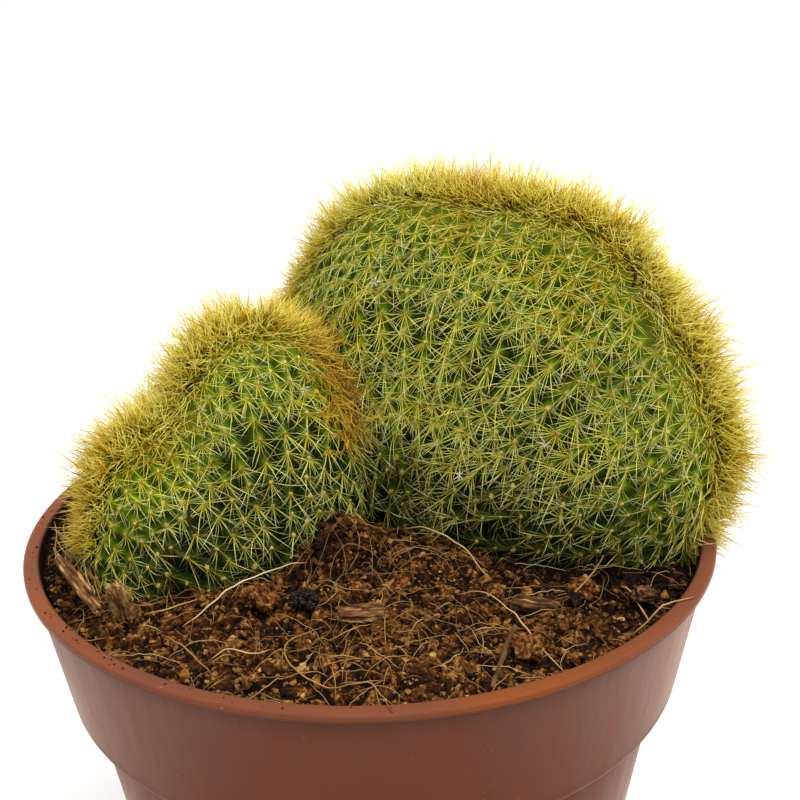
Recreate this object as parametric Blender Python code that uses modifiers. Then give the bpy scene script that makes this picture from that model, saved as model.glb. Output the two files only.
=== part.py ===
"""Potted crested golden ball cactus (a crested Parodia) in a 13 cm plastic nursery pot.

Metres, +Z up. The origin is the centre of the pot's base, where it stands, and the front is towards -Y.
One object for each piece: the pot, the potting mix, the stem with its two grown-together fans, the ridge of
young bristles on each fan's growing line, and the chips, lumps and fibres that lie on the mix.
"""

import math

import bmesh
import bpy
from mathutils import Matrix, Vector, noise
from mathutils.bvhtree import BVHTree

MM = 0.001
GAP = 0.3  # between touching pieces, mm

# Pot, all in mm
POT_HEIGHT = 115.0
RIM_RADIUS = 65.0
LIP_INNER_RADIUS = 62.2
LIP_DEPTH = 1.3
LIP_ROUND = 0.5
COLLAR_TOP_RADIUS = 63.7
COLLAR_DRAFT = math.radians(9.3)
COLLAR_DEPTH = 26.0
SHOULDER_ROUND = 3.4
BODY_TOP_RADIUS = 56.2
BASE_RADIUS = 42.6
WALL = 1.2
FOOT_ROUND = 1.6
FOOT_RING_WIDTH = 5.5
CHANNEL_RISE = 3.0
CENTRE_PAD_RADIUS = 14.0
DRAIN_HOLES = 8
DRAIN_HOLE_RADIUS = 4.0
POT_STEPS = 48

# Potting mix, mm
MIX_EDGE_BELOW_RIM = 5.2
MIX_DOME_HEIGHT = 5.5
MIX_DOME_SPREAD = 24.0
MIX_DOME_CENTRE = (2.0, -2.0)
MIX_LUMP_HEIGHT = 0.9
MIX_LUMP_SIZE = 11.0
MIX_RINGS = 11
MIX_STEPS = 40

# The two fans of the stem, mm and degrees. The centre is given from the rim's plane. The growing line is an
# oval in the fan's own plane, which is turned about Z by `turn`, leans back by `lean` and is tipped sideways
# by `tilt`. The faces bulge by `front` and `back`, and their middles sag by `sag` towards the mix and sway by
# `sway` towards the fan's root. Dents pull the growing line in: (angle, half width, depth) each.
MAIN_FAN = dict(
    centre=(24.5, 8.0, 19.0), turn=-25, lean=4, tilt=0, right=43.0, left=48.0, up=41.5, down=44.0,
    front=20.0, back=21.0, sag=16.0, sway=-7.0, foot_square=0.55, ribs=32,
    dents=((32, 26, 3.2), (82, 18, 1.8), (122, 18, -2.0), (-6, 12, -1.8)),
)
SIDE_FAN = dict(
    centre=(-29.0, -5.0, 4.0), turn=28, lean=5, tilt=-28, right=26.0, left=23.5, up=36.0, down=30.0,
    front=18.0, back=18.0, sag=8.0, sway=10.0, foot_square=1.0, ribs=24,
    dents=((150, 17, 5.0),),
)
RIB_HEIGHT = 0.9
RIB_SAMPLES = 3
FAN_ROWS = 9
BURIED_BELOW_RIM = 17.0
FOOT_CENTRE = (4.0, 3.0)
FOOT_TOP_RADIUS = 17.0
FOOT_END_RADIUS = 10.0
FOOT_END_BELOW_RIM = 44.0

# Bristle ridges, mm and degrees
CREST_BRISTLE_HEIGHT = 6.5
CREST_HALF_WIDTH = math.radians(13)
CREST_EDGE_HEIGHT = 1.2
MAIN_CREST_SPAN = (-22, 158)
SIDE_CREST_SPAN = (75, 196)
CREST_STEPS = 28
CREST_COLUMNS = 5

# Loose lumps and chips: kind, place, (length, width, height), turn about Z and tip about its width,
# in mm and degrees
LOOSE_PIECES = {
    "bark_chip_upright": ("bark", (-41, -34), (8.5, 3.6, 1.6), 80, 72),
    "bark_sliver_left": ("bark", (-50.5, -26), (19, 2.4, 1.0), -55, 4),
    "bark_chip_middle": ("bark", (-1, -36), (8, 4, 1.3), 15, 6),
    "bark_chip_flat": ("bark", (28, -32), (7.5, 3.2, 1.3), -8, 5),
    "bark_chip_right": ("bark", (47, -29.5), (4.6, 3.2, 2), 40, 25),
    "coir_lump_orange": ("coir", (-18, -30), (5.5, 5, 4), 10, 0),
    "coir_lump_heap": ("coir", (-3, -12), (7, 6, 4.5), 30, 0),
    "coir_lump_front": ("coir", (25, -45), (5, 4.5, 3.5), -20, 0),
    "coir_lump_under": ("coir", (37, -27), (5, 4, 3), 15, 0),
    "charcoal_lump": ("charcoal", (-11, -31), (4.6, 4, 3.2), 35, 0),
}
LUMP_ROUGHNESS = 0.16

# Routes over the mix: x, y and height above it, mm
TWIG_RADIUS = 0.65
TWIG_ROUTE = [(24, -39, 0.4), (22, -44, 0), (19, -54, 0)]
FIBRE_RADIUS = 0.35
FIBRE_ROUTES = [
    [(6, -12, 1.5), (10, -15, 3.2), (16, -18.5, 2.5), (19, -21.5, 1), (21, -25, 0)],
    [(-31, -35, 0), (-28, -32.5, 0.8), (-24.5, -29, 1.6), (-20, -25.5, 2), (-15, -22, 1.4), (-11, -20, 0.2)],
    [(-38, -31.5, 0), (-34, -31, 0.8), (-29, -28.5, 0.6)],
    [(33, -31, 0), (36, -29.5, 2.2), (38.5, -28.5, 5), (40, -28, 8)],
    [(15, -30, 0), (19, -30, 0.8), (22, -33, 1.2), (25, -38, 0.8), (28, -46, 0.4), (31, -50, 0)],
    [(44, -24.5, 0), (45, -27, 0.8), (46, -32, 0.4), (46.5, -36, 0)],
    [(43, -39.5, 0), (46.5, -38, 1.8), (50.5, -36.5, 0.2), (54, -35, 0)],
    [(4, -64.5, 0), (1, -58, 4.6), (-6, -53, 0.4), (-12, -47, 0), (-13, -41, 0.4), (-7, -37, 0)],
    [(-34, -37, 0), (-30, -41, 0.5), (-24, -49, 0)],
    [(-25, -45, 0), (-22, -43.5, 0.6), (-18.5, -44.5, 0.3), (-15.5, -42.5, 0)],
]
ROUTE_SPACING = 2.6
CLEARANCE = 0.35  # loose pieces above the mix, mm

COLOURS = {
    "plastic_pot": ((0.30, 0.085, 0.045), 0.42),
    "potting_mix": ((0.075, 0.036, 0.017), 0.95),
    "cactus_stem": ((0.07, 0.19, 0.03), 0.55),
    "bristles": ((0.52, 0.38, 0.06), 0.6),
    "bark": ((0.13, 0.06, 0.03), 0.9),
    "coir": ((0.20, 0.09, 0.035), 0.95),
    "charcoal": ((0.012, 0.012, 0.013), 0.8),
    "fibre": ((0.50, 0.34, 0.15), 0.7),
}


def clear_scene():
    for obj in list(bpy.data.objects):
        bpy.data.objects.remove(obj, do_unlink=True)


def new_collection(name):
    made = bpy.data.collections.new(name)
    bpy.context.scene.collection.children.link(made)
    return made


def material(name, look):
    colour, roughness = COLOURS[look]
    made = bpy.data.materials.new(name)
    made.use_nodes = True
    shader = made.node_tree.nodes["Principled BSDF"]
    shader.inputs["Base Color"].default_value = (*colour, 1)
    shader.inputs["Roughness"].default_value = roughness
    shader.inputs["Metallic"].default_value = 0
    return made


def add_object(name, data, look, collection):
    obj = bpy.data.objects.new(name, data)
    data.materials.append(material(name, look))
    collection.objects.link(obj)
    return obj


def mesh_of(name, points_mm, faces):
    """A mesh from points in mm, its faces turned to point outwards."""
    mesh = bpy.data.meshes.new(name)
    mesh.from_pydata([[c * MM for c in p] for p in points_mm], [], faces)
    shape = bmesh.new()
    shape.from_mesh(mesh)
    bmesh.ops.recalc_face_normals(shape, faces=shape.faces)
    shape.to_mesh(mesh)
    shape.free()
    mesh.shade_smooth()
    return mesh


def hidden(obj):
    """Marks a cutter or a piece to be joined, which isn't a part of its own."""
    obj.hide_render = True
    obj.display_type = "WIRE"


def add_boolean(obj, other, operation):
    modifier = obj.modifiers.new(operation.lower(), "BOOLEAN")
    modifier.operation = operation
    modifier.solver = "EXACT"
    modifier.object = other


def evaluated_tree(obj):
    """The finished surface of an object, for ray casts, in metres."""
    bpy.context.view_layer.update()
    return BVHTree.FromObject(obj, bpy.context.evaluated_depsgraph_get())


def turned(name, profile_mm, steps, look, collection):
    """A turned solid whose (r, z) profile starts and ends on the axis and runs down its outer side."""
    mesh = bpy.data.meshes.new(name)
    edges = [(i, i + 1) for i in range(len(profile_mm) - 1)]
    mesh.from_pydata([(r * MM, 0, z * MM) for r, z in profile_mm], edges, [])
    obj = add_object(name, mesh, look, collection)
    screw = obj.modifiers.new("turn", "SCREW")
    screw.axis = "Z"
    screw.angle = 2 * math.pi
    screw.steps = screw.render_steps = steps
    screw.use_merge_vertices = True
    screw.merge_threshold = 0.00001
    screw.use_smooth_shade = True
    return obj


def arc(centre, radius, start, end, count):
    """Points of an arc in the (r, z) plane, angles from +r towards +z in degrees."""
    made = []
    for i in range(count + 1):
        angle = math.radians(start + (end - start) * i / count)
        made.append((centre[0] + radius * math.cos(angle), centre[1] + radius * math.sin(angle)))
    return made


def collar_radius(z):
    """The outside of the pot's collar at a height above its base."""
    return COLLAR_TOP_RADIUS - math.tan(COLLAR_DRAFT) * (POT_HEIGHT - LIP_DEPTH - z)


def shoulder():
    """The collar's lower edge, an arc from the collar's wall round to the top of the tapered body."""
    start_z = POT_HEIGHT - COLLAR_DEPTH
    centre = (
        collar_radius(start_z) - SHOULDER_ROUND * math.cos(COLLAR_DRAFT),
        start_z + SHOULDER_ROUND * math.sin(COLLAR_DRAFT),
    )
    return arc(centre, SHOULDER_ROUND, -math.degrees(COLLAR_DRAFT), -86, 4)


SHOULDER_Z = shoulder()[-1][1]
FLOOR_Z = CHANNEL_RISE + WALL


def body_radius(z):
    """The outside of the tapered body below the collar."""
    return BASE_RADIUS + (BODY_TOP_RADIUS - BASE_RADIUS) * z / SHOULDER_Z


def inside_profile(inset):
    """The pot's cavity from the middle of the floor up its wall, moved inwards by an inset."""
    channel_inner = CENTRE_PAD_RADIUS + 1
    collar_z = SHOULDER_Z + SHOULDER_ROUND
    return [
        (0, WALL + inset),
        (CENTRE_PAD_RADIUS - WALL - inset, WALL + inset),
        (channel_inner - WALL - inset, FLOOR_Z + inset),
        (body_radius(FLOOR_Z) - WALL - inset, FLOOR_Z + inset),
        (body_radius(SHOULDER_Z) - WALL - inset, SHOULDER_Z + WALL + inset),
        (collar_radius(collar_z) - WALL - inset, collar_z + WALL + inset),
        (LIP_INNER_RADIUS - 0.5 - inset, POT_HEIGHT - LIP_DEPTH - 2),
    ]


def build_pot(parts, cutters):
    ring_inner = BASE_RADIUS - FOOT_RING_WIDTH
    foot = (body_radius(FOOT_ROUND) - FOOT_ROUND, FOOT_ROUND)
    profile = inside_profile(0)
    profile += [(LIP_INNER_RADIUS, POT_HEIGHT - LIP_ROUND), (LIP_INNER_RADIUS + LIP_ROUND, POT_HEIGHT)]
    profile += arc((RIM_RADIUS - LIP_ROUND, POT_HEIGHT - LIP_ROUND), LIP_ROUND, 90, 0, 2)
    profile += [(RIM_RADIUS, POT_HEIGHT - LIP_DEPTH), (COLLAR_TOP_RADIUS, POT_HEIGHT - LIP_DEPTH)]
    profile += shoulder()
    profile += [(BODY_TOP_RADIUS, SHOULDER_Z - 0.1)]
    profile += arc(foot, FOOT_ROUND, -8, -90, 2)
    profile += [
        (ring_inner, 0),
        (ring_inner - 1, CHANNEL_RISE),
        (CENTRE_PAD_RADIUS + 1, CHANNEL_RISE),
        (CENTRE_PAD_RADIUS, 0),
        (0, 0),
    ]
    pot = turned("plastic_pot", profile, POT_STEPS, "plastic_pot", parts)
    drains = cylinder_ring("cut_drain_holes", (CENTRE_PAD_RADIUS + ring_inner) / 2, cutters)
    add_boolean(pot, drains, "DIFFERENCE")


def cylinder_ring(name, ring_radius, cutters):
    """The drain holes' cutters: upright cylinders in a ring through the channel's floor."""
    shape = bmesh.new()
    for i in range(DRAIN_HOLES):
        angle = 2 * math.pi * (i + 0.5) / DRAIN_HOLES
        place = Vector((math.cos(angle) * ring_radius, math.sin(angle) * ring_radius, FLOOR_Z)) * MM
        radius = DRAIN_HOLE_RADIUS * MM
        bmesh.ops.create_cone(
            shape, cap_ends=True, segments=14, radius1=radius, radius2=radius, depth=8 * MM,
            matrix=Matrix.Translation(place),
        )
    mesh = bpy.data.meshes.new(name)
    shape.to_mesh(mesh)
    shape.free()
    obj = add_object(name, mesh, "plastic_pot", cutters)
    hidden(obj)
    return obj


def mix_height(x, y):
    """The mix's top above the pot's base, in mm: a low dome with lumps."""
    away = (x - MIX_DOME_CENTRE[0]) ** 2 + (y - MIX_DOME_CENTRE[1]) ** 2
    dome = MIX_DOME_HEIGHT * math.exp(-away / (2 * MIX_DOME_SPREAD**2))
    lump = MIX_LUMP_HEIGHT * noise.noise(Vector((x, y, 3)) / MIX_LUMP_SIZE)
    return POT_HEIGHT - MIX_EDGE_BELOW_RIM + dome + lump


def build_mix(parts, sockets):
    """A plug turned to fit the pot, its flat top then raised to the dome, with sockets cut for the stem."""
    wall = inside_profile(GAP)
    edge_z = POT_HEIGHT - MIX_EDGE_BELOW_RIM
    rise = (edge_z - wall[-2][1]) / (wall[-1][1] - wall[-2][1])
    edge_radius = wall[-2][0] + (wall[-1][0] - wall[-2][0]) * rise
    top = [(edge_radius * i / MIX_RINGS, edge_z) for i in range(MIX_RINGS + 1)]
    plug = turned("mix_plug", top + list(reversed(wall[:-1])), MIX_STEPS, "potting_mix", parts)
    bpy.context.view_layer.update()
    mesh = bpy.data.meshes.new_from_object(plug.evaluated_get(bpy.context.evaluated_depsgraph_get()))
    bpy.data.objects.remove(plug)
    for vertex in mesh.vertices:
        x, y, z = vertex.co / MM
        if z > edge_z - 0.01 and math.hypot(x, y) < edge_radius - 0.01:
            vertex.co.z = mix_height(x, y) * MM
    mesh.materials.clear()
    mix = add_object("potting_mix", mesh, "potting_mix", parts)
    for socket in sockets:
        add_boolean(mix, socket, "DIFFERENCE")
    return mix


def fan_frame(fan):
    """Unit vectors of a fan: along its growing line's plane, up in it, and out of its front face."""
    turn, lean, tilt = (math.radians(fan[key]) for key in ("turn", "lean", "tilt"))
    along = Vector((math.cos(turn), math.sin(turn), 0))
    out = Vector((math.sin(turn), -math.cos(turn), 0))
    up = Vector((0, 0, math.cos(lean))) - out * math.sin(lean)
    return (
        along * math.cos(tilt) + up * math.sin(tilt),
        up * math.cos(tilt) - along * math.sin(tilt),
        out,
    )


def fan_point(fan, theta, psi, grow):
    """A point of a fan in mm. Theta runs round the growing line from the right over the top, psi from the
    front face's middle (0) over the growing line (pi / 2) to the back face's (pi). Grow thickens the fan."""
    along, up, out = fan_frame(fan)
    across, rise = math.cos(theta), math.sin(theta)
    if rise < 0:
        across = math.copysign(abs(across) ** fan["foot_square"], across)
    for angle, half_width, depth in fan["dents"]:
        away = (math.degrees(theta) - angle + 180) % 360 - 180
        grow -= depth * math.exp(-((away / half_width) ** 2)) * math.sin(psi) ** 2
    reach_across = (fan["right"] if across > 0 else fan["left"]) + grow
    reach_up = (fan["up"] if rise > 0 else fan["down"]) + grow
    reach_out = (fan["front"] if psi < math.pi / 2 else fan["back"]) + grow
    centre = Vector(fan["centre"]) + Vector((0, 0, POT_HEIGHT))
    edge, face = math.sin(psi), math.cos(psi)
    point = centre + along * (reach_across * across * edge) + up * (reach_up * rise * edge)
    return point + out * (reach_out * face) + (along * fan["sway"] - up * fan["sag"]) * (face * face)


def fan_object(name, fan, segments, rows, grow, rib_height, collection):
    """A sphere whose poles are the middles of the fan's faces, pulled to the fan's shape, ribs and all."""
    shape = bmesh.new()
    bmesh.ops.create_uvsphere(shape, u_segments=segments, v_segments=2 * rows, radius=1)
    for vertex in shape.verts:
        theta = math.atan2(vertex.co.y, vertex.co.x)
        psi = math.acos(max(-1.0, min(1.0, vertex.co.z)))
        rib = rib_height * math.cos(fan["ribs"] * theta) * math.sin(psi) ** 1.5
        vertex.co = fan_point(fan, theta, psi, grow + rib) * MM
    bmesh.ops.recalc_face_normals(shape, faces=shape.faces)
    mesh = bpy.data.meshes.new(name)
    shape.to_mesh(mesh)
    shape.free()
    mesh.shade_smooth()
    return add_object(name, mesh, "cactus_stem", collection)


def buried_block(name, gap, cutters):
    """What lies below the fans' flat undersides."""
    size = 2 * RIM_RADIUS
    mesh = bpy.data.meshes.new(name)
    shape = bmesh.new()
    bmesh.ops.create_cube(shape, size=size * MM)
    bmesh.ops.translate(
        shape, verts=shape.verts, vec=(0, 0, (POT_HEIGHT - BURIED_BELOW_RIM - gap - size / 2) * MM)
    )
    shape.to_mesh(mesh)
    shape.free()
    obj = add_object(name, mesh, "cactus_stem", cutters)
    hidden(obj)
    return obj


def stem_foot(name, grow, cutters):
    """The stem's woody foot, a tapered stump below the fans."""
    top = POT_HEIGHT - BURIED_BELOW_RIM + 4
    bottom = POT_HEIGHT - FOOT_END_BELOW_RIM - grow
    shape = bmesh.new()
    bmesh.ops.create_cone(
        shape, cap_ends=True, segments=24,
        radius1=(FOOT_END_RADIUS + grow) * MM, radius2=(FOOT_TOP_RADIUS + grow) * MM,
        depth=(top - bottom) * MM,
        matrix=Matrix.Translation(Vector((*FOOT_CENTRE, (top + bottom) / 2)) * MM),
    )
    mesh = bpy.data.meshes.new(name)
    shape.to_mesh(mesh)
    shape.free()
    obj = add_object(name, mesh, "cactus_stem", cutters)
    hidden(obj)
    return obj


def build_stem(parts, cutters):
    """Both fans joined, cut flat underneath, and the foot joined below them."""
    stem = fan_object(
        "cactus_stem", MAIN_FAN, MAIN_FAN["ribs"] * RIB_SAMPLES, FAN_ROWS, 0, RIB_HEIGHT / 2, parts
    )
    side = fan_object(
        "join_side_fan", SIDE_FAN, SIDE_FAN["ribs"] * RIB_SAMPLES, FAN_ROWS - 1, 0, RIB_HEIGHT / 2, cutters
    )
    hidden(side)
    add_boolean(stem, side, "UNION")
    add_boolean(stem, buried_block("cut_below_fans", 0, cutters), "DIFFERENCE")
    add_boolean(stem, stem_foot("join_foot", 0, cutters), "UNION")
    return stem


def build_sockets(cutters):
    """The stem's shape, smooth and a little larger, to be cut out of the mix."""
    room = GAP + RIB_HEIGHT / 2 + 0.35
    below = buried_block("cut_below_sockets", GAP, cutters)
    sockets = []
    for name, fan in (("cut_main_socket", MAIN_FAN), ("cut_side_socket", SIDE_FAN)):
        socket = fan_object(name, fan, 48, 10, room, 0, cutters)
        hidden(socket)
        add_boolean(socket, below, "DIFFERENCE")
        sockets.append(socket)
    sockets.append(stem_foot("cut_foot_socket", GAP, cutters))
    return sockets


def build_crest(name, fan, span, parts):
    """The ridge of young bristles: a band along the growing line, lens-shaped across and rounded off at
    its ends."""
    inner, outer = [], []
    base = GAP + RIB_HEIGHT / 2
    for i in range(CREST_STEPS + 1):
        run = i / CREST_STEPS
        theta = math.radians(span[0] + (span[1] - span[0]) * run)
        fade = math.sqrt(max(0, 1 - (2 * run - 1) ** 8))
        for j in range(CREST_COLUMNS):
            side = 2 * j / (CREST_COLUMNS - 1) - 1
            psi = math.pi / 2 + CREST_HALF_WIDTH * side
            swell = (1 - side**2) * fade
            height = CREST_EDGE_HEIGHT + (CREST_BRISTLE_HEIGHT - CREST_EDGE_HEIGHT) * swell
            inner.append(fan_point(fan, theta, psi, base))
            outer.append(fan_point(fan, theta, psi, base + height))
    count = len(inner)
    faces = []
    for i in range(CREST_STEPS):
        for j in range(CREST_COLUMNS - 1):
            a = i * CREST_COLUMNS + j
            b, c, d = a + 1, a + CREST_COLUMNS + 1, a + CREST_COLUMNS
            faces += [(a, b, c, d), (count + a, count + d, count + c, count + b)]
        for j in (0, CREST_COLUMNS - 1):
            a = i * CREST_COLUMNS + j
            faces.append((a, a + CREST_COLUMNS, count + a + CREST_COLUMNS, count + a))
    for i in (0, CREST_STEPS):
        for j in range(CREST_COLUMNS - 1):
            a = i * CREST_COLUMNS + j
            faces.append((a, a + 1, count + a + 1, count + a))
    add_object(name, mesh_of(name, inner + outer, faces), "bristles", parts)


def ground_height(tree, x, y):
    """The mix's top at a place, or the pot's rim, in mm."""
    if math.hypot(x, y) > LIP_INNER_RADIUS - 2:
        return POT_HEIGHT
    hit = tree.ray_cast(Vector((x, y, 2 * POT_HEIGHT)) * MM, Vector((0, 0, -1)))[0]
    return hit.z / MM


def build_loose_piece(name, tree, parts):
    """A chip or lump, lowered until it just clears the mix."""
    kind, place, size, turn, tip = LOOSE_PIECES[name]
    shape = bmesh.new()
    if kind == "bark":
        bmesh.ops.create_cube(shape, size=1)
        bmesh.ops.subdivide_edges(shape, edges=shape.edges, cuts=2, use_grid_fill=True)
    else:
        bmesh.ops.create_icosphere(shape, subdivisions=2, radius=0.5)
    seed = Vector((place[0], place[1], len(name)))
    scale = Matrix.Diagonal((*size, 1))
    turned_by = Matrix.Rotation(math.radians(turn), 4, "Z") @ Matrix.Rotation(math.radians(tip), 4, "Y")
    for vertex in shape.verts:
        bump = 1 + LUMP_ROUGHNESS * 2 * noise.noise(vertex.co * 2.2 + seed)
        vertex.co = turned_by @ scale @ (vertex.co * bump) + Vector((*place, POT_HEIGHT))
    above = min(v.co.z - ground_height(tree, v.co.x, v.co.y) for v in shape.verts)
    bmesh.ops.translate(shape, verts=shape.verts, vec=(0, 0, CLEARANCE - above))
    bmesh.ops.scale(shape, verts=shape.verts, vec=(MM, MM, MM))
    mesh = bpy.data.meshes.new(name)
    shape.to_mesh(mesh)
    shape.free()
    mesh.shade_smooth()
    add_object(name, mesh, kind, parts)


def smooth_route(points, spacing):
    """Points at even spacing on a smooth curve through the given ones."""
    ends = [points[0] * 2 - points[1]] + points + [points[-1] * 2 - points[-2]]
    made = []
    for before, a, b, after in zip(ends, ends[1:], ends[2:], ends[3:]):
        count = max(1, round((b - a).length / spacing))
        for i in range(count):
            t = i / count
            made.append(
                a + (b - before) * (t / 2) + (before * 2 - a * 5 + b * 4 - after) * (t * t / 2)
                + (a * 3 - before - b * 3 + after) * (t**3 / 2)
            )
    return made + [points[-1]]


def build_strand(name, route, radius, look, tree, parts):
    """A twig or fibre: a tube that lies on the mix along its route."""
    points = [Vector((x, y, ground_height(tree, x, y) + radius + CLEARANCE + lift)) for x, y, lift in route]
    points = smooth_route(points, ROUTE_SPACING)
    for point in points:
        point.z = max(point.z, ground_height(tree, point.x, point.y) + radius + CLEARANCE)
    curve = bpy.data.curves.new(name, "CURVE")
    curve.dimensions = "3D"
    curve.bevel_depth = radius * MM
    curve.bevel_resolution = 1
    curve.use_fill_caps = True
    spline = curve.splines.new("POLY")
    spline.points.add(len(points) - 1)
    for target, point in zip(spline.points, points):
        target.co = (*(point * MM), 1)
    add_object(name, curve, look, parts)


def main():
    clear_scene()
    parts = new_collection("potted_crested_golden_ball_cactus")
    cutters = new_collection("cutters")
    build_pot(parts, cutters)
    build_stem(parts, cutters)
    mix = build_mix(parts, build_sockets(cutters))
    build_crest("main_crest_bristles", MAIN_FAN, MAIN_CREST_SPAN, parts)
    build_crest("side_crest_bristles", SIDE_FAN, SIDE_CREST_SPAN, parts)
    tree = evaluated_tree(mix)
    for name in LOOSE_PIECES:
        build_loose_piece(name, tree, parts)
    build_strand("twig_front", TWIG_ROUTE, TWIG_RADIUS, "bark", tree, parts)
    for number, route in enumerate(FIBRE_ROUTES, 1):
        build_strand(f"coir_fibre_{number}", route, FIBRE_RADIUS, "fibre", tree, parts)


main()
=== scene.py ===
"""Looks of a potted crested golden ball cactus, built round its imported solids. Metres, +Z up, front at -Y."""

import math
import random

import bmesh
import bpy
import numpy as np
from mathutils import Matrix, Vector, noise
from mathutils.bvhtree import BVHTree
from mathutils.kdtree import KDTree


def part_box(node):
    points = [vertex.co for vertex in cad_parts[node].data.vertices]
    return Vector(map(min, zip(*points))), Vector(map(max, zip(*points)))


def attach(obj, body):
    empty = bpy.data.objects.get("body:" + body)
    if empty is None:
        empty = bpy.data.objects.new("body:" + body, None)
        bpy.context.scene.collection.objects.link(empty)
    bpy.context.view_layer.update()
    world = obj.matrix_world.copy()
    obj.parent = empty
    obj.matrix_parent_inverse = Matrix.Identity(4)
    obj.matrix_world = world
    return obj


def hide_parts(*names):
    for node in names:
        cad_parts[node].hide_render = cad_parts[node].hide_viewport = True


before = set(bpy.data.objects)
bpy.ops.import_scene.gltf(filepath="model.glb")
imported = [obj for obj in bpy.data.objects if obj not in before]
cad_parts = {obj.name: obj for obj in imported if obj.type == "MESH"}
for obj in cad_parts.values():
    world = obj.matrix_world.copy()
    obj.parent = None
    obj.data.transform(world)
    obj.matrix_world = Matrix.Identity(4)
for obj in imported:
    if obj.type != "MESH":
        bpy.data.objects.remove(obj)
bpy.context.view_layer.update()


# ---------------------------------------------------------------------------------------------------------
# Camera: a normal lens close in front of the plant and a little above it, looking down on the pot's rim, so
# that the rim opens to an oval and the pot's base is out of view.

MM = 0.001
RIM_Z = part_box("plastic_pot")[1].z / MM  # the plane of the pot's rim, mm
CAMERA_PLACE = (6.0, -193.9, RIM_Z + 94.7)
CAMERA_PITCH = math.radians(20.3)
CAMERA_ROLL = math.radians(-1.2)


def placed_object(name, data):
    """A new object in the scene, at the origin."""
    obj = bpy.data.objects.new(name, data)
    bpy.context.scene.collection.objects.link(obj)
    return obj


camera_data = bpy.data.cameras.new("camera")
camera_data.lens = 49.5
camera_data.sensor_width = 36
camera_data.clip_start = 0.01
camera = placed_object("camera", camera_data)
camera.matrix_world = (
    Matrix.Translation(Vector(CAMERA_PLACE) * MM)
    @ Matrix.Rotation(math.pi / 2 - CAMERA_PITCH, 4, "X")
    @ Matrix.Rotation(CAMERA_ROLL, 4, "Z")
)
bpy.context.scene.camera = camera
bpy.context.scene.view_settings.view_transform = "Standard"


# ---------------------------------------------------------------------------------------------------------
# Plastic nursery pot. One injection moulding in terracotta-coloured polypropylene, 1.2 mm thick: a flat lip
# with a rolled edge, a tapered collar that pots stack by, a tapered body and a floor with eight drain holes.

RIM_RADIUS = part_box("plastic_pot")[1].x / MM
LIP_INNER_RADIUS = RIM_RADIUS - 2.8
LIP_DEPTH = 1.3
LIP_ROUND = 0.55
COLLAR_TOP_RADIUS = RIM_RADIUS - 1.3
COLLAR_DRAFT = math.radians(9.3)
COLLAR_DEPTH = 26.0
SHOULDER_ROUND = 3.4
BODY_TOP_RADIUS = 56.2
BASE_RADIUS = 42.6
WALL = 1.2
FOOT_ROUND = 1.6
FOOT_RING_WIDTH = 5.5
CHANNEL_RISE = 3.0
CENTRE_PAD_RADIUS = 14.0
DRAIN_HOLES = 8
DRAIN_HOLE_RADIUS = 4.0
POT_STEPS = 192


def linear(hex_colour):
    """An sRGB hex value as the linear colour that a shader takes."""
    channels = [int(hex_colour[i:i + 2], 16) / 255 for i in (1, 3, 5)]
    return (*[c / 12.92 if c <= 0.04045 else ((c + 0.055) / 1.055) ** 2.4 for c in channels], 1.0)


def add_node(tree, kind, inputs=(), stops=(), **settings):
    """Adds a node, or goes on with one that is there. An input given as a node or a socket is linked, any
    other is set, and stops fill a colour ramp. Inputs are in order, or by name or number in a dict."""
    node = tree.nodes.new(kind) if isinstance(kind, str) else kind
    for key, value in settings.items():
        setattr(node, key, value)
    for key, value in inputs.items() if isinstance(inputs, dict) else enumerate(inputs):
        if isinstance(value, bpy.types.Node):
            value = next(socket for socket in value.outputs if socket.enabled)
        if isinstance(value, bpy.types.NodeSocket):
            tree.links.new(value, node.inputs[key])
        else:
            node.inputs[key].default_value = value
    for place, _ in stops[2:]:
        node.color_ramp.elements.new(place)
    for number, (place, colour) in enumerate(stops):
        point = node.color_ramp.elements[number]
        point.position = place
        point.color = linear(colour) if isinstance(colour, str) else (colour, colour, colour, 1)
    return node


def new_material(name, settings):
    """A material whose Principled shader has plain values. Returns the material, its tree and the shader."""
    made = bpy.data.materials.new(name)
    made.use_nodes = True
    return made, made.node_tree, add_node(made.node_tree, made.node_tree.nodes["Principled BSDF"], settings)


def finished(obj, material, slot, *replaced):
    """Gives a piece its material and ties it to the frame."""
    if not obj.data.materials:
        obj.data.materials.append(material)
    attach(obj, "root")
    if replaced:
        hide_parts(*replaced)
    return obj


def new_object(name, points_mm, faces):
    """An object at the origin whose mesh has the given points, in mm."""
    mesh = bpy.data.meshes.new(name)
    mesh.from_pydata([tuple(c * MM for c in p) for p in points_mm], [], faces)
    return placed_object(name, mesh)


def note_on_points(obj, name, values):
    """Keeps a value for each point of a mesh: numbers, or vectors."""
    kind, key = ("FLOAT_VECTOR", "vector") if isinstance(values[0], Vector) else ("FLOAT", "value")
    flat = [c for vector in values for c in vector] if kind == "FLOAT_VECTOR" else values
    obj.data.attributes.new(name, kind, "POINT").data.foreach_set(key, flat)


def made_plain(obj, name):
    """The object as its modifiers leave it, as a plain mesh in a new object. The old one is removed."""
    bpy.context.view_layer.update()
    graph = bpy.context.evaluated_depsgraph_get()
    mesh = bpy.data.meshes.new_from_object(obj.evaluated_get(graph))
    bpy.data.objects.remove(obj)
    mesh.name = name
    return placed_object(name, mesh)


def arc(centre, radius, start, end, count):
    """Points of an arc in the (r, z) plane, angles from +r towards +z in degrees."""
    made = []
    for i in range(count + 1):
        angle = math.radians(start + (end - start) * i / count)
        made.append((centre[0] + radius * math.cos(angle), centre[1] + radius * math.sin(angle)))
    return made


def collar_radius(z):
    """The outside of the collar at a height above the base."""
    return COLLAR_TOP_RADIUS - math.tan(COLLAR_DRAFT) * (RIM_Z - LIP_DEPTH - z)


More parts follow.
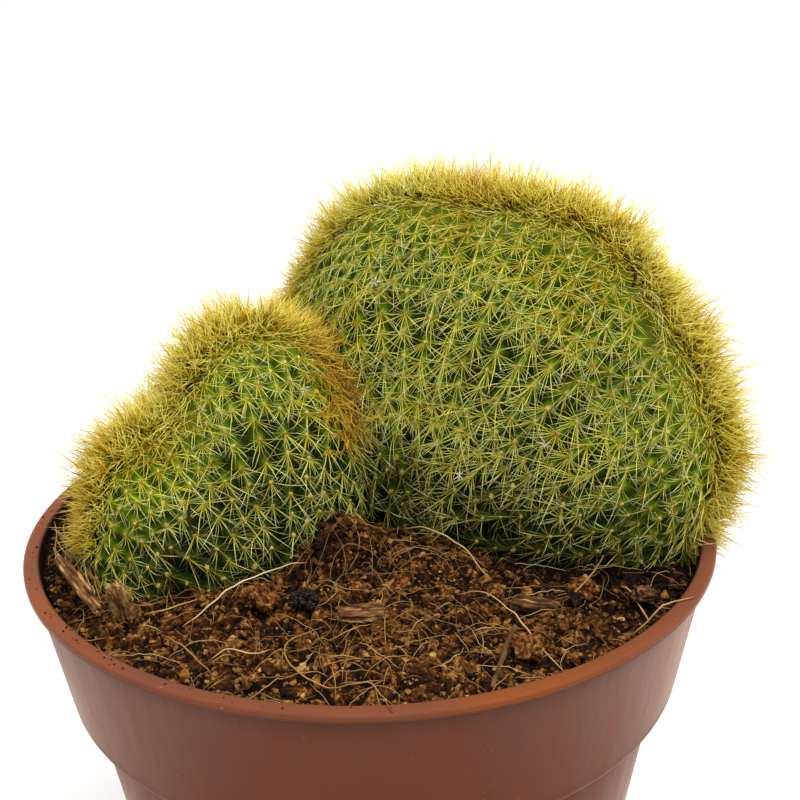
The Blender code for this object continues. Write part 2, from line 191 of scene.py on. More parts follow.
def shoulder():
    """The collar's lower edge, an arc from its wall round to the top of the tapered body."""
    start_z = RIM_Z - COLLAR_DEPTH
    centre = (
        collar_radius(start_z) - SHOULDER_ROUND * math.cos(COLLAR_DRAFT),
        start_z + SHOULDER_ROUND * math.sin(COLLAR_DRAFT),
    )
    return arc(centre, SHOULDER_ROUND, -math.degrees(COLLAR_DRAFT), -86, 12)


SHOULDER_Z = shoulder()[-1][1]
FLOOR_Z = CHANNEL_RISE + WALL


def body_radius(z):
    """The outside of the tapered body below the collar."""
    return BASE_RADIUS + (BODY_TOP_RADIUS - BASE_RADIUS) * z / SHOULDER_Z


def inside_profile(inset):
    """The pot's cavity from the middle of the floor up its wall, moved inwards by an inset."""
    collar_z = SHOULDER_Z + SHOULDER_ROUND
    return [
        (0, WALL + inset),
        (CENTRE_PAD_RADIUS - WALL - inset, WALL + inset),
        (CENTRE_PAD_RADIUS + 1 - WALL - inset, FLOOR_Z + inset),
        (body_radius(FLOOR_Z) - WALL - inset, FLOOR_Z + inset),
        (body_radius(SHOULDER_Z) - WALL - inset, SHOULDER_Z + WALL + inset),
        (collar_radius(collar_z) - WALL - inset, collar_z + WALL + inset),
        (LIP_INNER_RADIUS - 0.5 - inset, RIM_Z - LIP_DEPTH - 2),
    ]


def pot_profile():
    """The pot's whole section: up inside from the middle of its floor, over the lip and down to its foot."""
    ring_inner = BASE_RADIUS - FOOT_RING_WIDTH
    foot = (body_radius(FOOT_ROUND) - FOOT_ROUND, FOOT_ROUND)
    profile = inside_profile(0)
    profile += arc((LIP_INNER_RADIUS + LIP_ROUND, RIM_Z - LIP_ROUND), LIP_ROUND, 180, 90, 5)
    profile += arc((RIM_RADIUS - LIP_ROUND, RIM_Z - LIP_ROUND), LIP_ROUND, 90, 0, 6)
    profile += [
        (RIM_RADIUS, RIM_Z - LIP_DEPTH + 0.15),
        (RIM_RADIUS - 0.15, RIM_Z - LIP_DEPTH),
        (COLLAR_TOP_RADIUS + 0.1, RIM_Z - LIP_DEPTH),
        (COLLAR_TOP_RADIUS, RIM_Z - LIP_DEPTH - 0.1),
    ]
    profile += shoulder()
    profile += [(BODY_TOP_RADIUS, SHOULDER_Z - 0.1)]
    profile += arc(foot, FOOT_ROUND, -8, -90, 6)
    return profile + [
        (ring_inner, 0),
        (ring_inner - 1, CHANNEL_RISE),
        (CENTRE_PAD_RADIUS + 1, CHANNEL_RISE),
        (CENTRE_PAD_RADIUS, 0),
        (0, 0),
    ]


def turned_object(name, profile, steps):
    """A closed turned shape from an (r, z) profile that starts and ends on the axis."""
    points = [(0, 0, profile[0][1])]
    for r, z in profile[1:-1]:
        for i in range(steps):
            angle = 2 * math.pi * i / steps
            points.append((r * math.cos(angle), r * math.sin(angle), z))
    points.append((0, 0, profile[-1][1]))
    faces = []
    last = len(profile) - 3
    for i in range(steps):
        j = (i + 1) % steps
        faces.append((0, 1 + i, 1 + j))
        for k in range(last):
            a, b = 1 + k * steps, 1 + (k + 1) * steps
            faces.append((a + i, b + i, b + j, a + j))
        faces.append((1 + last * steps + i, len(points) - 1, 1 + last * steps + j))
    obj = new_object(name, points, faces)
    shape = bmesh.new()
    shape.from_mesh(obj.data)
    bmesh.ops.recalc_face_normals(shape, faces=shape.faces)
    shape.to_mesh(obj.data)
    shape.free()
    obj.data.shade_smooth()
    obj.data.set_sharp_from_angle(angle=math.radians(38))
    return obj


def with_drain_holes(pot):
    """Cuts the ring of drain holes through the channel's floor."""
    shape = bmesh.new()
    ring = (CENTRE_PAD_RADIUS + BASE_RADIUS - FOOT_RING_WIDTH) / 2
    for i in range(DRAIN_HOLES):
        angle = 2 * math.pi * (i + 0.5) / DRAIN_HOLES
        place = Vector((ring * math.cos(angle), ring * math.sin(angle), FLOOR_Z)) * MM
        bmesh.ops.create_cone(
            shape, cap_ends=True, segments=32, radius1=DRAIN_HOLE_RADIUS * MM, radius2=DRAIN_HOLE_RADIUS * MM,
            depth=8 * MM, matrix=Matrix.Translation(place),
        )
    mesh = bpy.data.meshes.new("drain_cutters")
    shape.to_mesh(mesh)
    shape.free()
    cutters = placed_object("drain_cutters", mesh)
    cut = pot.modifiers.new("drain", "BOOLEAN")
    cut.operation = "DIFFERENCE"
    cut.object = cutters
    pot = made_plain(pot, pot.name)
    bpy.data.objects.remove(cutters)
    return pot


def fine_grain(tree, place, size, detail, strength, depth):
    """A surface's finest relief as a bump. The size of its grains and its depth are in mm, and both are drawn
    coarser than the real pores and pith, which are too fine to show."""
    grain = add_node(tree, "ShaderNodeTexNoise", {
        "Vector": place, "Scale": 1 / (size * MM), "Detail": detail,
    })
    return add_node(tree, "ShaderNodeBump", {"Height": grain, "Strength": strength, "Distance": depth * MM})


def moulded_polypropylene():
    """Terracotta polypropylene, semi-gloss from a polished mould: flow streaks run down from the lip, a dull
    bloom lies on the collar and body but is rubbed off the shoulder, and stacking leaves small pale scuffs.
    Painted shade darkens a band of the collar just under the lip and the whole inside of the wall, and the
    lip's pinker patches are painted reflection."""
    made, tree, shader = new_material("terracotta_polypropylene", {
        "IOR": 1.49, "Specular IOR Level": 0.05, "Sheen Roughness": 0.33, "Sheen Tint": linear("#FFDCC8"),
    })
    place = add_node(tree, "ShaderNodeTexCoord").outputs["Object"]
    height = add_node(tree, "ShaderNodeSeparateXYZ", [place]).outputs["Z"]
    streak_place = add_node(tree, "ShaderNodeMapping", {"Vector": place, "Scale": (1, 1, 0.05)})
    streaks = add_node(tree, "ShaderNodeTexNoise", {
        "Vector": streak_place, "Scale": 1 / (4 * MM), "Detail": 4, "Roughness": 0.65,
    })
    clouds = add_node(tree, "ShaderNodeTexNoise", {"Vector": place, "Scale": 1 / (24 * MM), "Detail": 2})
    wall = add_node(tree, "ShaderNodeValToRGB", [streaks], stops=((0.3, "#53230E"), (0.7, "#6A3119")))
    bloom = add_node(tree, "ShaderNodeMix", {0: clouds, 6: wall, 7: linear("#67321B")}, data_type="RGBA")
    ragged = add_node(tree, "ShaderNodeMath", (streaks, 5 * MM, height), operation="MULTIPLY_ADD")
    # Painted shade: a dark band on the collar just under the lip, with a ragged lower edge.
    under_lip_shade = add_node(tree, "ShaderNodeMapRange", {
        "Value": ragged, "From Min": (RIM_Z - 3.5) * MM, "From Max": (RIM_Z + 0.5) * MM, "To Max": 0.5,
    })
    shaded_below_lip = add_node(tree, "ShaderNodeMix", {0: under_lip_shade, 6: bloom, 7: linear("#3A1C10")}, data_type="RGBA")
    lip = add_node(tree, "ShaderNodeMapRange", {
        "Value": height, "From Min": (RIM_Z - 1.2) * MM, "From Max": (RIM_Z - 0.9) * MM,
    })
    # The lip's own orange-brown, with pinker patches that are painted reflection.
    lip_colour_and_reflection = add_node(tree, "ShaderNodeValToRGB", [clouds], stops=((0.3, "#804422"), (0.6, "#6E4030")))
    outside = add_node(tree, "ShaderNodeMix", {0: lip, 6: shaded_below_lip, 7: lip_colour_and_reflection}, data_type="RGBA")
    # Painted shade: the inside of the wall is darkened nearly to black and loses its sheen.
    inside = add_node(tree, "ShaderNodeAttribute", attribute_name="inside").outputs["Fac"]
    body = add_node(tree, "ShaderNodeMix", {0: inside, 6: outside, 7: linear("#1E0F08")}, data_type="RGBA")
    scuff_place = add_node(tree, "ShaderNodeMapping", {"Vector": place, "Scale": (1, 1, 2.4)})
    scuffs = add_node(tree, "ShaderNodeTexNoise", {
        "Vector": scuff_place, "Scale": 1 / (1.4 * MM), "Detail": 5, "Roughness": 0.7,
    })
    scuffed = add_node(tree, "ShaderNodeValToRGB", [scuffs], stops=((0.67, 0.0), (0.73, 0.6)))
    coloured = add_node(tree, "ShaderNodeMix", {0: scuffed, 6: body, 7: linear("#B98F7C")}, data_type="RGBA")
    above_shoulder = add_node(tree, "ShaderNodeMath", (height, (SHOULDER_Z + 1) * MM), operation="SUBTRACT")
    from_shoulder = add_node(tree, "ShaderNodeMath", [above_shoulder], operation="ABSOLUTE")
    dull = add_node(tree, "ShaderNodeMapRange", {
        "Value": from_shoulder, "From Max": 3.5 * MM, "To Min": 0.05, "To Max": 0.36,
    })
    kept = add_node(tree, "ShaderNodeMapRange", {"Value": inside, "To Min": 1.0, "To Max": 0.0})
    sheen = add_node(tree, "ShaderNodeMath", (dull, kept), operation="MULTIPLY")
    rough = add_node(tree, "ShaderNodeMapRange", {
        "Value": streaks, "From Min": 0.3, "From Max": 0.7, "To Min": 0.34, "To Max": 0.52,
    })
    add_node(tree, shader, {
        "Base Color": coloured, "Sheen Weight": sheen, "Roughness": rough,
        "Normal": fine_grain(tree, streak_place, 3, 2, 0.25, 0.25),
    })
    return made


pot = with_drain_holes(turned_object("nursery_pot", pot_profile(), POT_STEPS))
# How far each point faces inwards, by which the material paints the inside dark as shade.
inward = [-vertex.normal.dot(Vector((*vertex.co.xy, 0)).normalized()) for vertex in pot.data.vertices]
note_on_points(pot, "inside", [max(0.0, facing) for facing in inward])
finished(pot, moulded_polypropylene(), "plastic_pot", "plastic_pot")


# ---------------------------------------------------------------------------------------------------------
# Crested stem. Two grown-together fans of one plant, a tall one on the right and a low one on the left. Each
# grew from a line, not from a point, so its ribs run down both faces from that line, set with spine cushions
# on low tubercles. Living green skin with a thin wax bloom, painted darker as shade towards the buried foot.

# Each fan's middle, from that of the pot's rim, how it is turned, leant and tilted, and its reach each way.
# How far its faces sag and sway aside, its dents (place on its line, half width, depth) and the part of the
# line that still grows (crest). In mm, and in degrees round the line from the right over the top.
MAIN_FAN = dict(
    centre=(24.5, 8.0, 19.0), turn=-25, lean=4, tilt=0, right=43.0, left=48.0, up=41.5, down=44.0,
    front=20.0, back=21.0, sag=16.0, sway=-7.0, foot_square=0.55,
    dents=((32, 26, 3.2), (82, 18, 1.8), (122, 18, -2.0), (-6, 12, -1.8), (95, 7, 1.2)), crest=(-45, 172),
)
SIDE_FAN = dict(
    centre=(-29.0, -5.0, 4.0), turn=28, lean=5, tilt=-28, right=26.0, left=23.5, up=36.0, down=30.0,
    front=18.0, back=18.0, sag=8.0, sway=10.0, foot_square=1.0,
    dents=((150, 17, 5.0),), crest=(48, 208),
)
BURIED_BELOW_RIM = 17.0
FOOT_CENTRE = (4.0, 3.0)
FOOT_TOP_RADIUS = 17.0
FOOT_END_RADIUS = 10.0
FOOT_END_BELOW_RIM = 43.5
SKIN_CELL = 0.72
SKIN_MELT = 1.3  # mm from the joined skin, past which a cushion is inside the other fan
RIB_SPACING = 3.5
AREOLE_SPACING = 3.8
YOUNG_AREOLE_SPACING = 2.2
AREOLE_JITTER = 0.22
GROWN_AT = 16.0  # mm from the growing line to where the cushions have their full spacing
CREST_HALF_BAND = 3.2
FANS_MEET_X = -4.0  # mm, left of which the low fan grows, in the tall one's shade, with thinner tufts
CLOSEST_RIBS = 2.6
CLOSEST_AREOLES = 2.0
CLOSEST_YOUNG = 0.45
YOUNG_ROWS = (0.0, 0.7, 1.4, 2.2, 3.0, 3.9, 5.0)  # mm from the growing line
YOUNG_SPACING = 0.85
YOUNG_THINNING = 0.3
OLD_ROWS = (0.0, 3.2)
LOWEST_CUSHIONS = -0.6  # mm above the mix's plain top, where crumbs begin to hide them
TUBERCLE_HEIGHT = 1.1
TUBERCLE_RADIUS = 1.75
TUBERCLE_STRETCH = 0.62  # how much slower a tubercle falls off along its rib
GROOVE_SHARE = 0.45  # of the tubercles' height, by which the grooves lie under the fans' plain surface
LINE_RIDGE = 5.0  # mm from the growing line to where the tubercles have their full height
OLD_AT = 45.0  # mm from the growing line to where the skin is old
FOOT_HEIGHT = 24.0  # mm above the mix, below which skin and spines are painted darker as shade
SHADED_AT = 15.0  # mm down the low fan, where the tall one shades it


def fan_frame(fan):
    """Unit vectors of a fan: along its growing line's plane, up in it, and out of its front face."""
    turn, lean, tilt = (math.radians(fan[key]) for key in ("turn", "lean", "tilt"))
    along = Vector((math.cos(turn), math.sin(turn), 0))
    out = Vector((math.sin(turn), -math.cos(turn), 0))
    up = Vector((0, 0, math.cos(lean))) - out * math.sin(lean)
    return (
        along * math.cos(tilt) + up * math.sin(tilt),
        up * math.cos(tilt) - along * math.sin(tilt),
        out,
    )


def fan_point(fan, theta, psi):
    """A point of a fan in mm. Theta runs round the growing line from the right over the top, psi from the
    front face's middle (0) over the growing line (pi / 2) to the back face's (pi)."""
    along, up, out = fan["axes"]
    across, rise = math.cos(theta), math.sin(theta)
    if rise < 0:
        across = math.copysign(abs(across) ** fan["foot_square"], across)
    dent = 0.0
    for angle, half_width, depth in fan["dents"]:
        away = (math.degrees(theta) - angle + 180) % 360 - 180
        dent += depth * math.exp(-((away / half_width) ** 2)) * math.sin(psi) ** 2
    reach_across = (fan["right"] if across > 0 else fan["left"]) - dent
    reach_up = (fan["up"] if rise > 0 else fan["down"]) - dent
    reach_out = (fan["front"] if psi < math.pi / 2 else fan["back"]) - dent
    edge, face = math.sin(psi), math.cos(psi)
    point = fan["middle"] + along * (reach_across * across * edge) + up * (reach_up * rise * edge)
    return point + out * (reach_out * face) + (along * fan["sway"] - up * fan["sag"]) * (face * face)


def fan_shell(shape, fan):
    """Adds a fan to a mesh as a sphere whose poles are the middles of its faces."""
    made = bmesh.ops.create_uvsphere(shape, u_segments=180, v_segments=72, radius=1)
    for vertex in made["verts"]:
        theta = math.atan2(vertex.co.y, vertex.co.x) % (2 * math.pi)
        psi = math.acos(max(-1.0, min(1.0, vertex.co.z)))
        vertex.co = fan_point(fan, theta, psi)
        vertex.co.z = max(vertex.co.z, RIM_Z - BURIED_BELOW_RIM)


def meshed(name, shape):
    """An object from a shape in mm, which is freed."""
    obj = new_object(name, [v.co for v in shape.verts], [[v.index for v in f.verts] for f in shape.faces])
    shape.free()
    return obj


def smooth_skin():
    """Both fans and the foot under them, joined and evened out, in mm."""
    shape = bmesh.new()
    for fan in (MAIN_FAN, SIDE_FAN):
        fan_shell(shape, fan)
    top, bottom = RIM_Z - BURIED_BELOW_RIM + 4, RIM_Z - FOOT_END_BELOW_RIM
    bmesh.ops.create_cone(
        shape, cap_ends=True, segments=48, radius1=FOOT_END_RADIUS, radius2=FOOT_TOP_RADIUS,
        depth=top - bottom, matrix=Matrix.Translation((*FOOT_CENTRE, (top + bottom) / 2)),
    )
    obj = meshed("skin_cage", shape)
    remesh = obj.modifiers.new("join", "REMESH")
    remesh.mode = "VOXEL"
    remesh.voxel_size = SKIN_CELL * MM
    soften = obj.modifiers.new("soften", "SMOOTH")
    soften.factor = 0.5
    soften.iterations = 8
    return made_plain(obj, "crested_stem")


def rib_angles(fan):
    """The places of the ribs round the growing line, evenly spaced along it."""
    steps = 1440
    angles = [2 * math.pi * i / steps for i in range(steps + 1)]
    line = [fan_point(fan, a, math.pi / 2) for a in angles]
    run = np.concatenate([[0], np.cumsum([(b - a).length for a, b in zip(line, line[1:])])])
    count = round(run[-1] / RIB_SPACING)
    return list(np.interp(np.arange(count) * run[-1] / count, run, angles))


def rib_rank(number):
    """How many ribs narrow gaps leave out before this one: odd ribs end first, then every second even one."""
    rank = 1
    while number % 2 == 0 and rank < 32:
        number, rank = number // 2, rank * 2
    return rank


def walk_ribs(fan, rng):
    """Yields place, way down the rib and distance from the growing line of each spine cushion of a fan. It
    walks down both faces to their middles, a degree at a time."""
    angles = rib_angles(fan)
    for number, theta in enumerate(angles):
        beside = angles[(number + 1) % len(angles)]
        for side in (-1, 1):
            here = fan_point(fan, theta, math.pi / 2)
            travelled = 0.0
            due = CREST_HALF_BAND + YOUNG_AREOLE_SPACING * (0.5 if number % 2 else 1.0)
            for i in range(1, 90):
                psi = math.pi / 2 + side * math.radians(1) * i
                there = fan_point(fan, theta, psi)
                travelled += (there - here).length
                if (fan_point(fan, beside, psi) - there).length * rib_rank(number) < CLOSEST_RIBS:
                    break
                if travelled >= due:
                    grown = min(1.0, travelled / GROWN_AT)
                    due += YOUNG_AREOLE_SPACING + (AREOLE_SPACING - YOUNG_AREOLE_SPACING) * grown
                    jitter = Vector(rng.gauss(0, AREOLE_JITTER) for _ in range(3))
                    yield there + jitter, (there - here).normalized(), travelled
                here = there


def line_areoles(fan, rng, rows, start, end, spacing, thinning):
    """Cushions in rows on both sides of the growing line between two angles, wider apart down the faces."""
    nudge = 0.01
    for row in sorted({side * reach for reach in rows for side in (-1, 1)}):
        theta = math.radians(start)
        while theta < math.radians(end):
            line = fan_point(fan, theta, math.pi / 2)
            pace = (fan_point(fan, theta + nudge, math.pi / 2) - line).length / nudge
            flank = fan_point(fan, theta, math.pi / 2 + nudge) - line
            reach = row + rng.uniform(-0.4, 0.4)
            place = fan_point(fan, theta, math.pi / 2 + reach / flank.length * nudge)
            yield place, flank.normalized() * math.copysign(1, reach), abs(reach)
            theta += (spacing + thinning * abs(row)) * rng.uniform(0.7, 1.3) / pace


def young_areoles(fan, rng):
    """The crowded young cushions along the part of the line that still grows."""
    return line_areoles(fan, rng, YOUNG_ROWS, *fan["crest"], YOUNG_SPACING, YOUNG_THINNING)


def old_end_areoles(fan, rng):
    """The full-grown cushions along the buried end of the line, where it has stopped growing."""
    start, end = fan["crest"][1], fan["crest"][0] + 360
    for place, _, off in line_areoles(fan, rng, OLD_ROWS, start, end, AREOLE_SPACING, 0.0):
        yield place, Vector((0, 0, -1)), GROWN_AT + off


for fan in (MAIN_FAN, SIDE_FAN):
    fan["axes"] = fan_frame(fan)
    fan["middle"] = Vector(fan["centre"]) + Vector((0, 0, RIM_Z))

stem = smooth_skin()
shape = bmesh.new()
shape.from_mesh(stem.data)
bmesh.ops.scale(shape, verts=shape.verts, vec=(1 / MM,) * 3)
skin_tree = BVHTree.FromBMesh(shape)
shape.free()

# The top of the potting mix, which buries the stem's foot.
MIX_EDGE_BELOW_RIM = 5.2
MIX_DOME_HEIGHT = 5.5
MIX_DOME_SPREAD = 24.0
MIX_DOME_CENTRE = (2.0, -2.0)
MIX_LUMP_HEIGHT = 0.9
MIX_LUMP_SIZE = 11.0


def mix_height(x, y):
    """The potting mix's top without its crumbs, in mm: a low dome with lumps."""
    away = (x - MIX_DOME_CENTRE[0]) ** 2 + (y - MIX_DOME_CENTRE[1]) ** 2
    dome = MIX_DOME_HEIGHT * math.exp(-away / (2 * MIX_DOME_SPREAD**2))
    lump = MIX_LUMP_HEIGHT * noise.noise(Vector((x, y, 3)) / MIX_LUMP_SIZE)
    return RIM_Z - MIX_EDGE_BELOW_RIM + dome + lump


def settled(candidates, closest, above_mix):
    """Cushions moved onto the skin. Those inside the other fan, below the mix or too close are left out."""
    kept = []
    grid = {}
    for place, fall, travelled in candidates:
        hit, normal, _, apart = skin_tree.find_nearest(place)
        if apart > SKIN_MELT or hit.z < mix_height(hit.x, hit.y) + above_mix:
            continue
        cell = tuple(int(c // closest) for c in hit)
        near = [
            q for i in (-1, 0, 1) for j in (-1, 0, 1) for k in (-1, 0, 1)
            for q in grid.get((cell[0] + i, cell[1] + j, cell[2] + k), ())
        ]
        if any((q - hit).length < closest for q in near):
            continue
        grid.setdefault(cell, []).append(hit)
        kept.append((hit, normal, (fall - normal * fall.dot(normal)).normalized(), travelled, apart))
    return kept


rng = random.Random(11)
cushions = list(walk_ribs(MAIN_FAN, rng)) + list(walk_ribs(SIDE_FAN, rng))
rng_old = random.Random(12)
cushions += list(old_end_areoles(MAIN_FAN, rng_old)) + list(old_end_areoles(SIDE_FAN, rng_old))
areoles = settled(cushions, CLOSEST_AREOLES, LOWEST_CUSHIONS)
main_young = settled(young_areoles(MAIN_FAN, rng), CLOSEST_YOUNG, 0.0)
side_young = settled(young_areoles(SIDE_FAN, rng), CLOSEST_YOUNG, 0.0)


def cushion_finder(rows):
    """A lookup of the cushions nearest to a place."""
    finder = KDTree(len(rows))
    for number, row in enumerate(rows):
        finder.insert(row[0], number)
    finder.balance()
    return finder


def near_foot(place):
    """How near a place is to the mix, from 0 high on the stem to 1 at the mix."""
    return max(0.0, 1 - (place.z - mix_height(place.x, place.y)) / FOOT_HEIGHT)


def raise_tubercles(stem):
    """Lifts the skin round each cushion, more along the rib than across it, and notes height, and age with
    painted shade added by the foot and under the tall fan.
    """
    finder = cushion_finder(areoles)
    young_finder = cushion_finder(main_young + side_young)
    heights, ages_and_shade, moves = [], [], []
    for vertex in stem.data.vertices:
        place = vertex.co / MM
        best = math.inf
        for _, number, _ in finder.find_n(place, 3):
            hit, normal, fall, _, _ = areoles[number]
            offset = place - hit
            down = offset.dot(fall)
            across_sq = max(0.0, offset.length_squared - down * down)
            best = min(best, math.sqrt(across_sq + (TUBERCLE_STRETCH * down) ** 2))
        off_line = young_finder.find(place)[2]
        lift = max(0.0, 1 - best / TUBERCLE_RADIUS) ** 1.2
        fade = min(1.0, max(0.0, (off_line - 0.5) / LINE_RIDGE))
        heights.append(lift)
        # Painted shade: near the mix and down the low fan the skin counts as older, which darkens it.
        shaded = 0.3 * min(1.0, off_line / SHADED_AT) if place.x < FANS_MEET_X else 0.0
        ages_and_shade.append(min(1.0, off_line / OLD_AT + 0.75 * near_foot(place) + shaded))
        moves.append(vertex.normal * ((lift - GROOVE_SHARE) * TUBERCLE_HEIGHT * (0.3 + 0.7 * fade)))
    for vertex, move in zip(stem.data.vertices, moves):
        vertex.co += move * MM
    note_on_points(stem, "tubercle", heights)
    note_on_points(stem, "age", ages_and_shade)
    stem.data.shade_smooth()


def cactus_skin():
    """Living cactus skin, waxy and satin: green, yellower by the growing line and dull olive where it is old.
    Painted shade makes the grooves between tubercles deep green and darkens the skin to olive by the
    foot and on the low fan under the tall one."""
    made, tree, shader = new_material("cactus_skin", {
        "Roughness": 0.5, "IOR": 1.4, "Specular IOR Level": 0.06,
    })
    place = add_node(tree, "ShaderNodeTexCoord").outputs["Object"]
    height = add_node(tree, "ShaderNodeAttribute", attribute_name="tubercle").outputs["Fac"]
    age = add_node(tree, "ShaderNodeAttribute", attribute_name="age").outputs["Fac"]
    mottle = add_node(tree, "ShaderNodeTexNoise", {"Vector": place, "Scale": 1 / (3 * MM), "Detail": 3})
    # Painted shade: the lower the skin lies between the tubercles, the darker its green.
    lightness_by_height = add_node(tree, "ShaderNodeMath", (mottle, 0.5, height), operation="MULTIPLY_ADD")
    groove_shaded_green = add_node(tree, "ShaderNodeValToRGB", [lightness_by_height], stops=(
        (0.15, "#101A00"), (0.45, "#3A4C00"), (0.8, "#668200"), (1.0, "#98AE14"),
    ))
    # Colours of old skin and of skin in painted shade.
    old_and_shaded_green = add_node(tree, "ShaderNodeValToRGB", [lightness_by_height], stops=(
        (0.15, "#080C00"), (0.6, "#1F2F04"), (1.0, "#455610"),
    ))
    ageing_and_shade = add_node(tree, "ShaderNodeMapRange", {"Value": age, "From Min": 0.35, "From Max": 1.0})
    mixed = add_node(tree, "ShaderNodeMix", {0: ageing_and_shade, 6: groove_shaded_green, 7: old_and_shaded_green}, data_type="RGBA")
    youth = add_node(tree, "ShaderNodeMapRange", {
        "Value": age, "From Min": 0.16, "From Max": 0.0, "To Max": 0.6,
    })
    yellowed = add_node(tree, "ShaderNodeMix", {0: youth, 6: mixed, 7: linear("#85911F")}, data_type="RGBA")
    add_node(tree, shader, {"Base Color": yellowed, "Normal": fine_grain(tree, place, 0.5, 2, 0.3, 0.15)})
    return made


raise_tubercles(stem)
finished(stem, cactus_skin(), "cactus_stem", "cactus_stem")


# ---------------------------------------------------------------------------------------------------------
# Spines and bristles. Each woolly cushion grows a tuft of thin straw-coloured radial spines that lie near the
# skin, and a few long golden central spines that sweep down the rib. Cushions on the growing line are crowded
# and hold upright bristles. They are dead, hardened, horny tissue.

SHADE_MAP = "OFBake"  # a UV map: u picks the tint, v runs along the spine, crumb or fibre
MAP_WIDTH = 0.008  # of the map, that one spine, crumb or fibre covers across its tint
MAP_EDGE = 0.02  # of the map, left free beside the first and the last tint


def new_tree(name, kinds):
    """A geometry node tree with the given inputs, in order. Returns it and the sockets that carry them."""
    tree = bpy.data.node_groups.new(name, "GeometryNodeTree")
    for label, kind in kinds.items():
        tree.interface.new_socket(label, in_out="INPUT", socket_type="NodeSocket" + kind)
    tree.interface.new_socket("Geometry", in_out="OUTPUT", socket_type="NodeSocketGeometry")
    return tree, tree.nodes.new("NodeGroupInput").outputs


def end_tree(tree, solid, material):
    """Gives what a tree has made its material and hands it out."""
    solid = add_node(tree, "GeometryNodeSetMaterial", {"Geometry": solid, "Material": material})
    add_node(tree, "NodeGroupOutput", [solid])
    return tree


def spine_tuft_tree():
    """Nodes that grow tufts of tapered, bent, three-sided spines on points with normal_out, fall, vigour,
    plenty, upright and tint."""
    tree, given = new_tree("spine tufts", {
        "Cushions": "Geometry", "Spines": "Float", "Length": "Float", "Length Spread": "Float",
        "Stragglers": "Float", "Radius": "Float", "Fan": "Float", "Lift": "Float", "Lift Spread": "Float",
        "Bend": "Float", "Curl": "Float", "Stray": "Float", "Tint Spread": "Float", "Joints": "Int",
        "Seed": "Int", "Material": "Material",
    })
    own = {}
    for kind, names in (
        ("FLOAT", ("vigour", "plenty", "upright", "tint", "reach", "spine_tint", "along", "around")),
        ("FLOAT_VECTOR", ("normal_out", "fall", "bow")),
    ):
        for name in names:
            own[name] = add_node(tree, "GeometryNodeInputNamedAttribute", {"Name": name}, data_type=kind)
    chance = []
    for number in range(12):
        seed = add_node(tree, "ShaderNodeMath", (given["Seed"], number), operation="ADD")
        chance.append(add_node(tree, "FunctionNodeRandomValue", {2: -1.0, 3: 1.0, 8: seed}))

    # One needle, swollen in the middle, that knows how far along and around it each point is.
    needle = add_node(tree, "GeometryNodeMeshCone", {
        "Vertices": 3, "Side Segments": given["Joints"],
        "Radius Top": 0.0, "Radius Bottom": 1.0, "Depth": 1.0,
    }, fill_type="NGON")
    spot = add_node(tree, "ShaderNodeSeparateXYZ", [add_node(tree, "GeometryNodeInputPosition")]).outputs
    around = add_node(tree, "ShaderNodeMath", (spot["Y"], 0.5, spot["X"]), operation="MULTIPLY_ADD")
    for name, value in (("along", spot["Z"]), ("around", around)):
        needle = add_node(tree, "GeometryNodeStoreNamedAttribute", {
            "Geometry": needle, "Name": name, "Value": value,
        }, data_type="FLOAT", domain="POINT")
    half_turn = add_node(tree, "ShaderNodeMath", (spot["Z"], math.pi), operation="MULTIPLY")
    swell = add_node(tree, "ShaderNodeMath", [half_turn], operation="SINE")
    belly = add_node(tree, "ShaderNodeMath", (swell, 0.5, 1.0), operation="MULTIPLY_ADD")
    wide = add_node(tree, "ShaderNodeMath", (spot["X"], belly), operation="MULTIPLY")
    deep = add_node(tree, "ShaderNodeMath", (spot["Y"], belly), operation="MULTIPLY")
    full = add_node(tree, "ShaderNodeCombineXYZ", (wide, deep, spot["Z"]))
    needle = add_node(tree, "GeometryNodeSetPosition", {"Geometry": needle, "Position": full})

    # Its places: as many as the cushion has spines, turned evenly round it and lifted off the skin.
    count = add_node(tree, "ShaderNodeMath", (given["Spines"], own["plenty"]), operation="MULTIPLY")
    count = add_node(tree, "ShaderNodeMath", [count], operation="ROUND")
    tufts = add_node(tree, "GeometryNodeDuplicateElements", {
        "Geometry": given["Cushions"], "Amount": count,
    }, domain="POINT").outputs
    start = add_node(tree, "ShaderNodeMath", (chance[1], 0.5, 0.5), operation="MULTIPLY_ADD")
    turn = add_node(tree, "ShaderNodeMath", (tufts["Duplicate Index"], start), operation="ADD")
    turn = add_node(tree, "ShaderNodeMath", (turn, count), operation="DIVIDE")
    turn = add_node(tree, "ShaderNodeMath", (turn, 2.0, -1.0), operation="MULTIPLY_ADD")
    turn = add_node(tree, "ShaderNodeMath", (turn, given["Fan"]), operation="MULTIPLY")
    lift = add_node(tree, "ShaderNodeMath", (given["Lift"], own["upright"]), operation="MULTIPLY")
    lift = add_node(tree, "ShaderNodeMath", (chance[2], given["Lift Spread"], lift), operation="MULTIPLY_ADD")

    # The way it points: the turn from fall towards the side, then the lift from there towards the normal.
    out, aim = own["normal_out"], own["fall"]
    side = add_node(tree, "ShaderNodeVectorMath", (out, aim), operation="CROSS_PRODUCT")
    for angle, other in ((turn, side), (lift, out)):
        shares = []
        for way, wave in ((aim, "COSINE"), (other, "SINE")):
            share = add_node(tree, "ShaderNodeMath", [angle], operation=wave)
            shares.append(add_node(tree, "ShaderNodeVectorMath", {0: way, "Scale": share}, operation="SCALE"))
        aim = add_node(tree, "ShaderNodeVectorMath", shares, operation="ADD")
    bow = add_node(tree, "ShaderNodeVectorMath", {0: out, "Scale": given["Bend"]}, operation="SCALE")
    strayed = []
    for way, amount, draws in ((aim, "Stray", chance[3:6]), (bow, "Curl", chance[8:11])):
        drift = add_node(tree, "ShaderNodeCombineXYZ", draws)
        drift = add_node(tree, "ShaderNodeVectorMath", {0: drift, "Scale": given[amount]}, operation="SCALE")
        strayed.append(add_node(tree, "ShaderNodeVectorMath", (way, drift), operation="ADD"))
    aim, bow = strayed

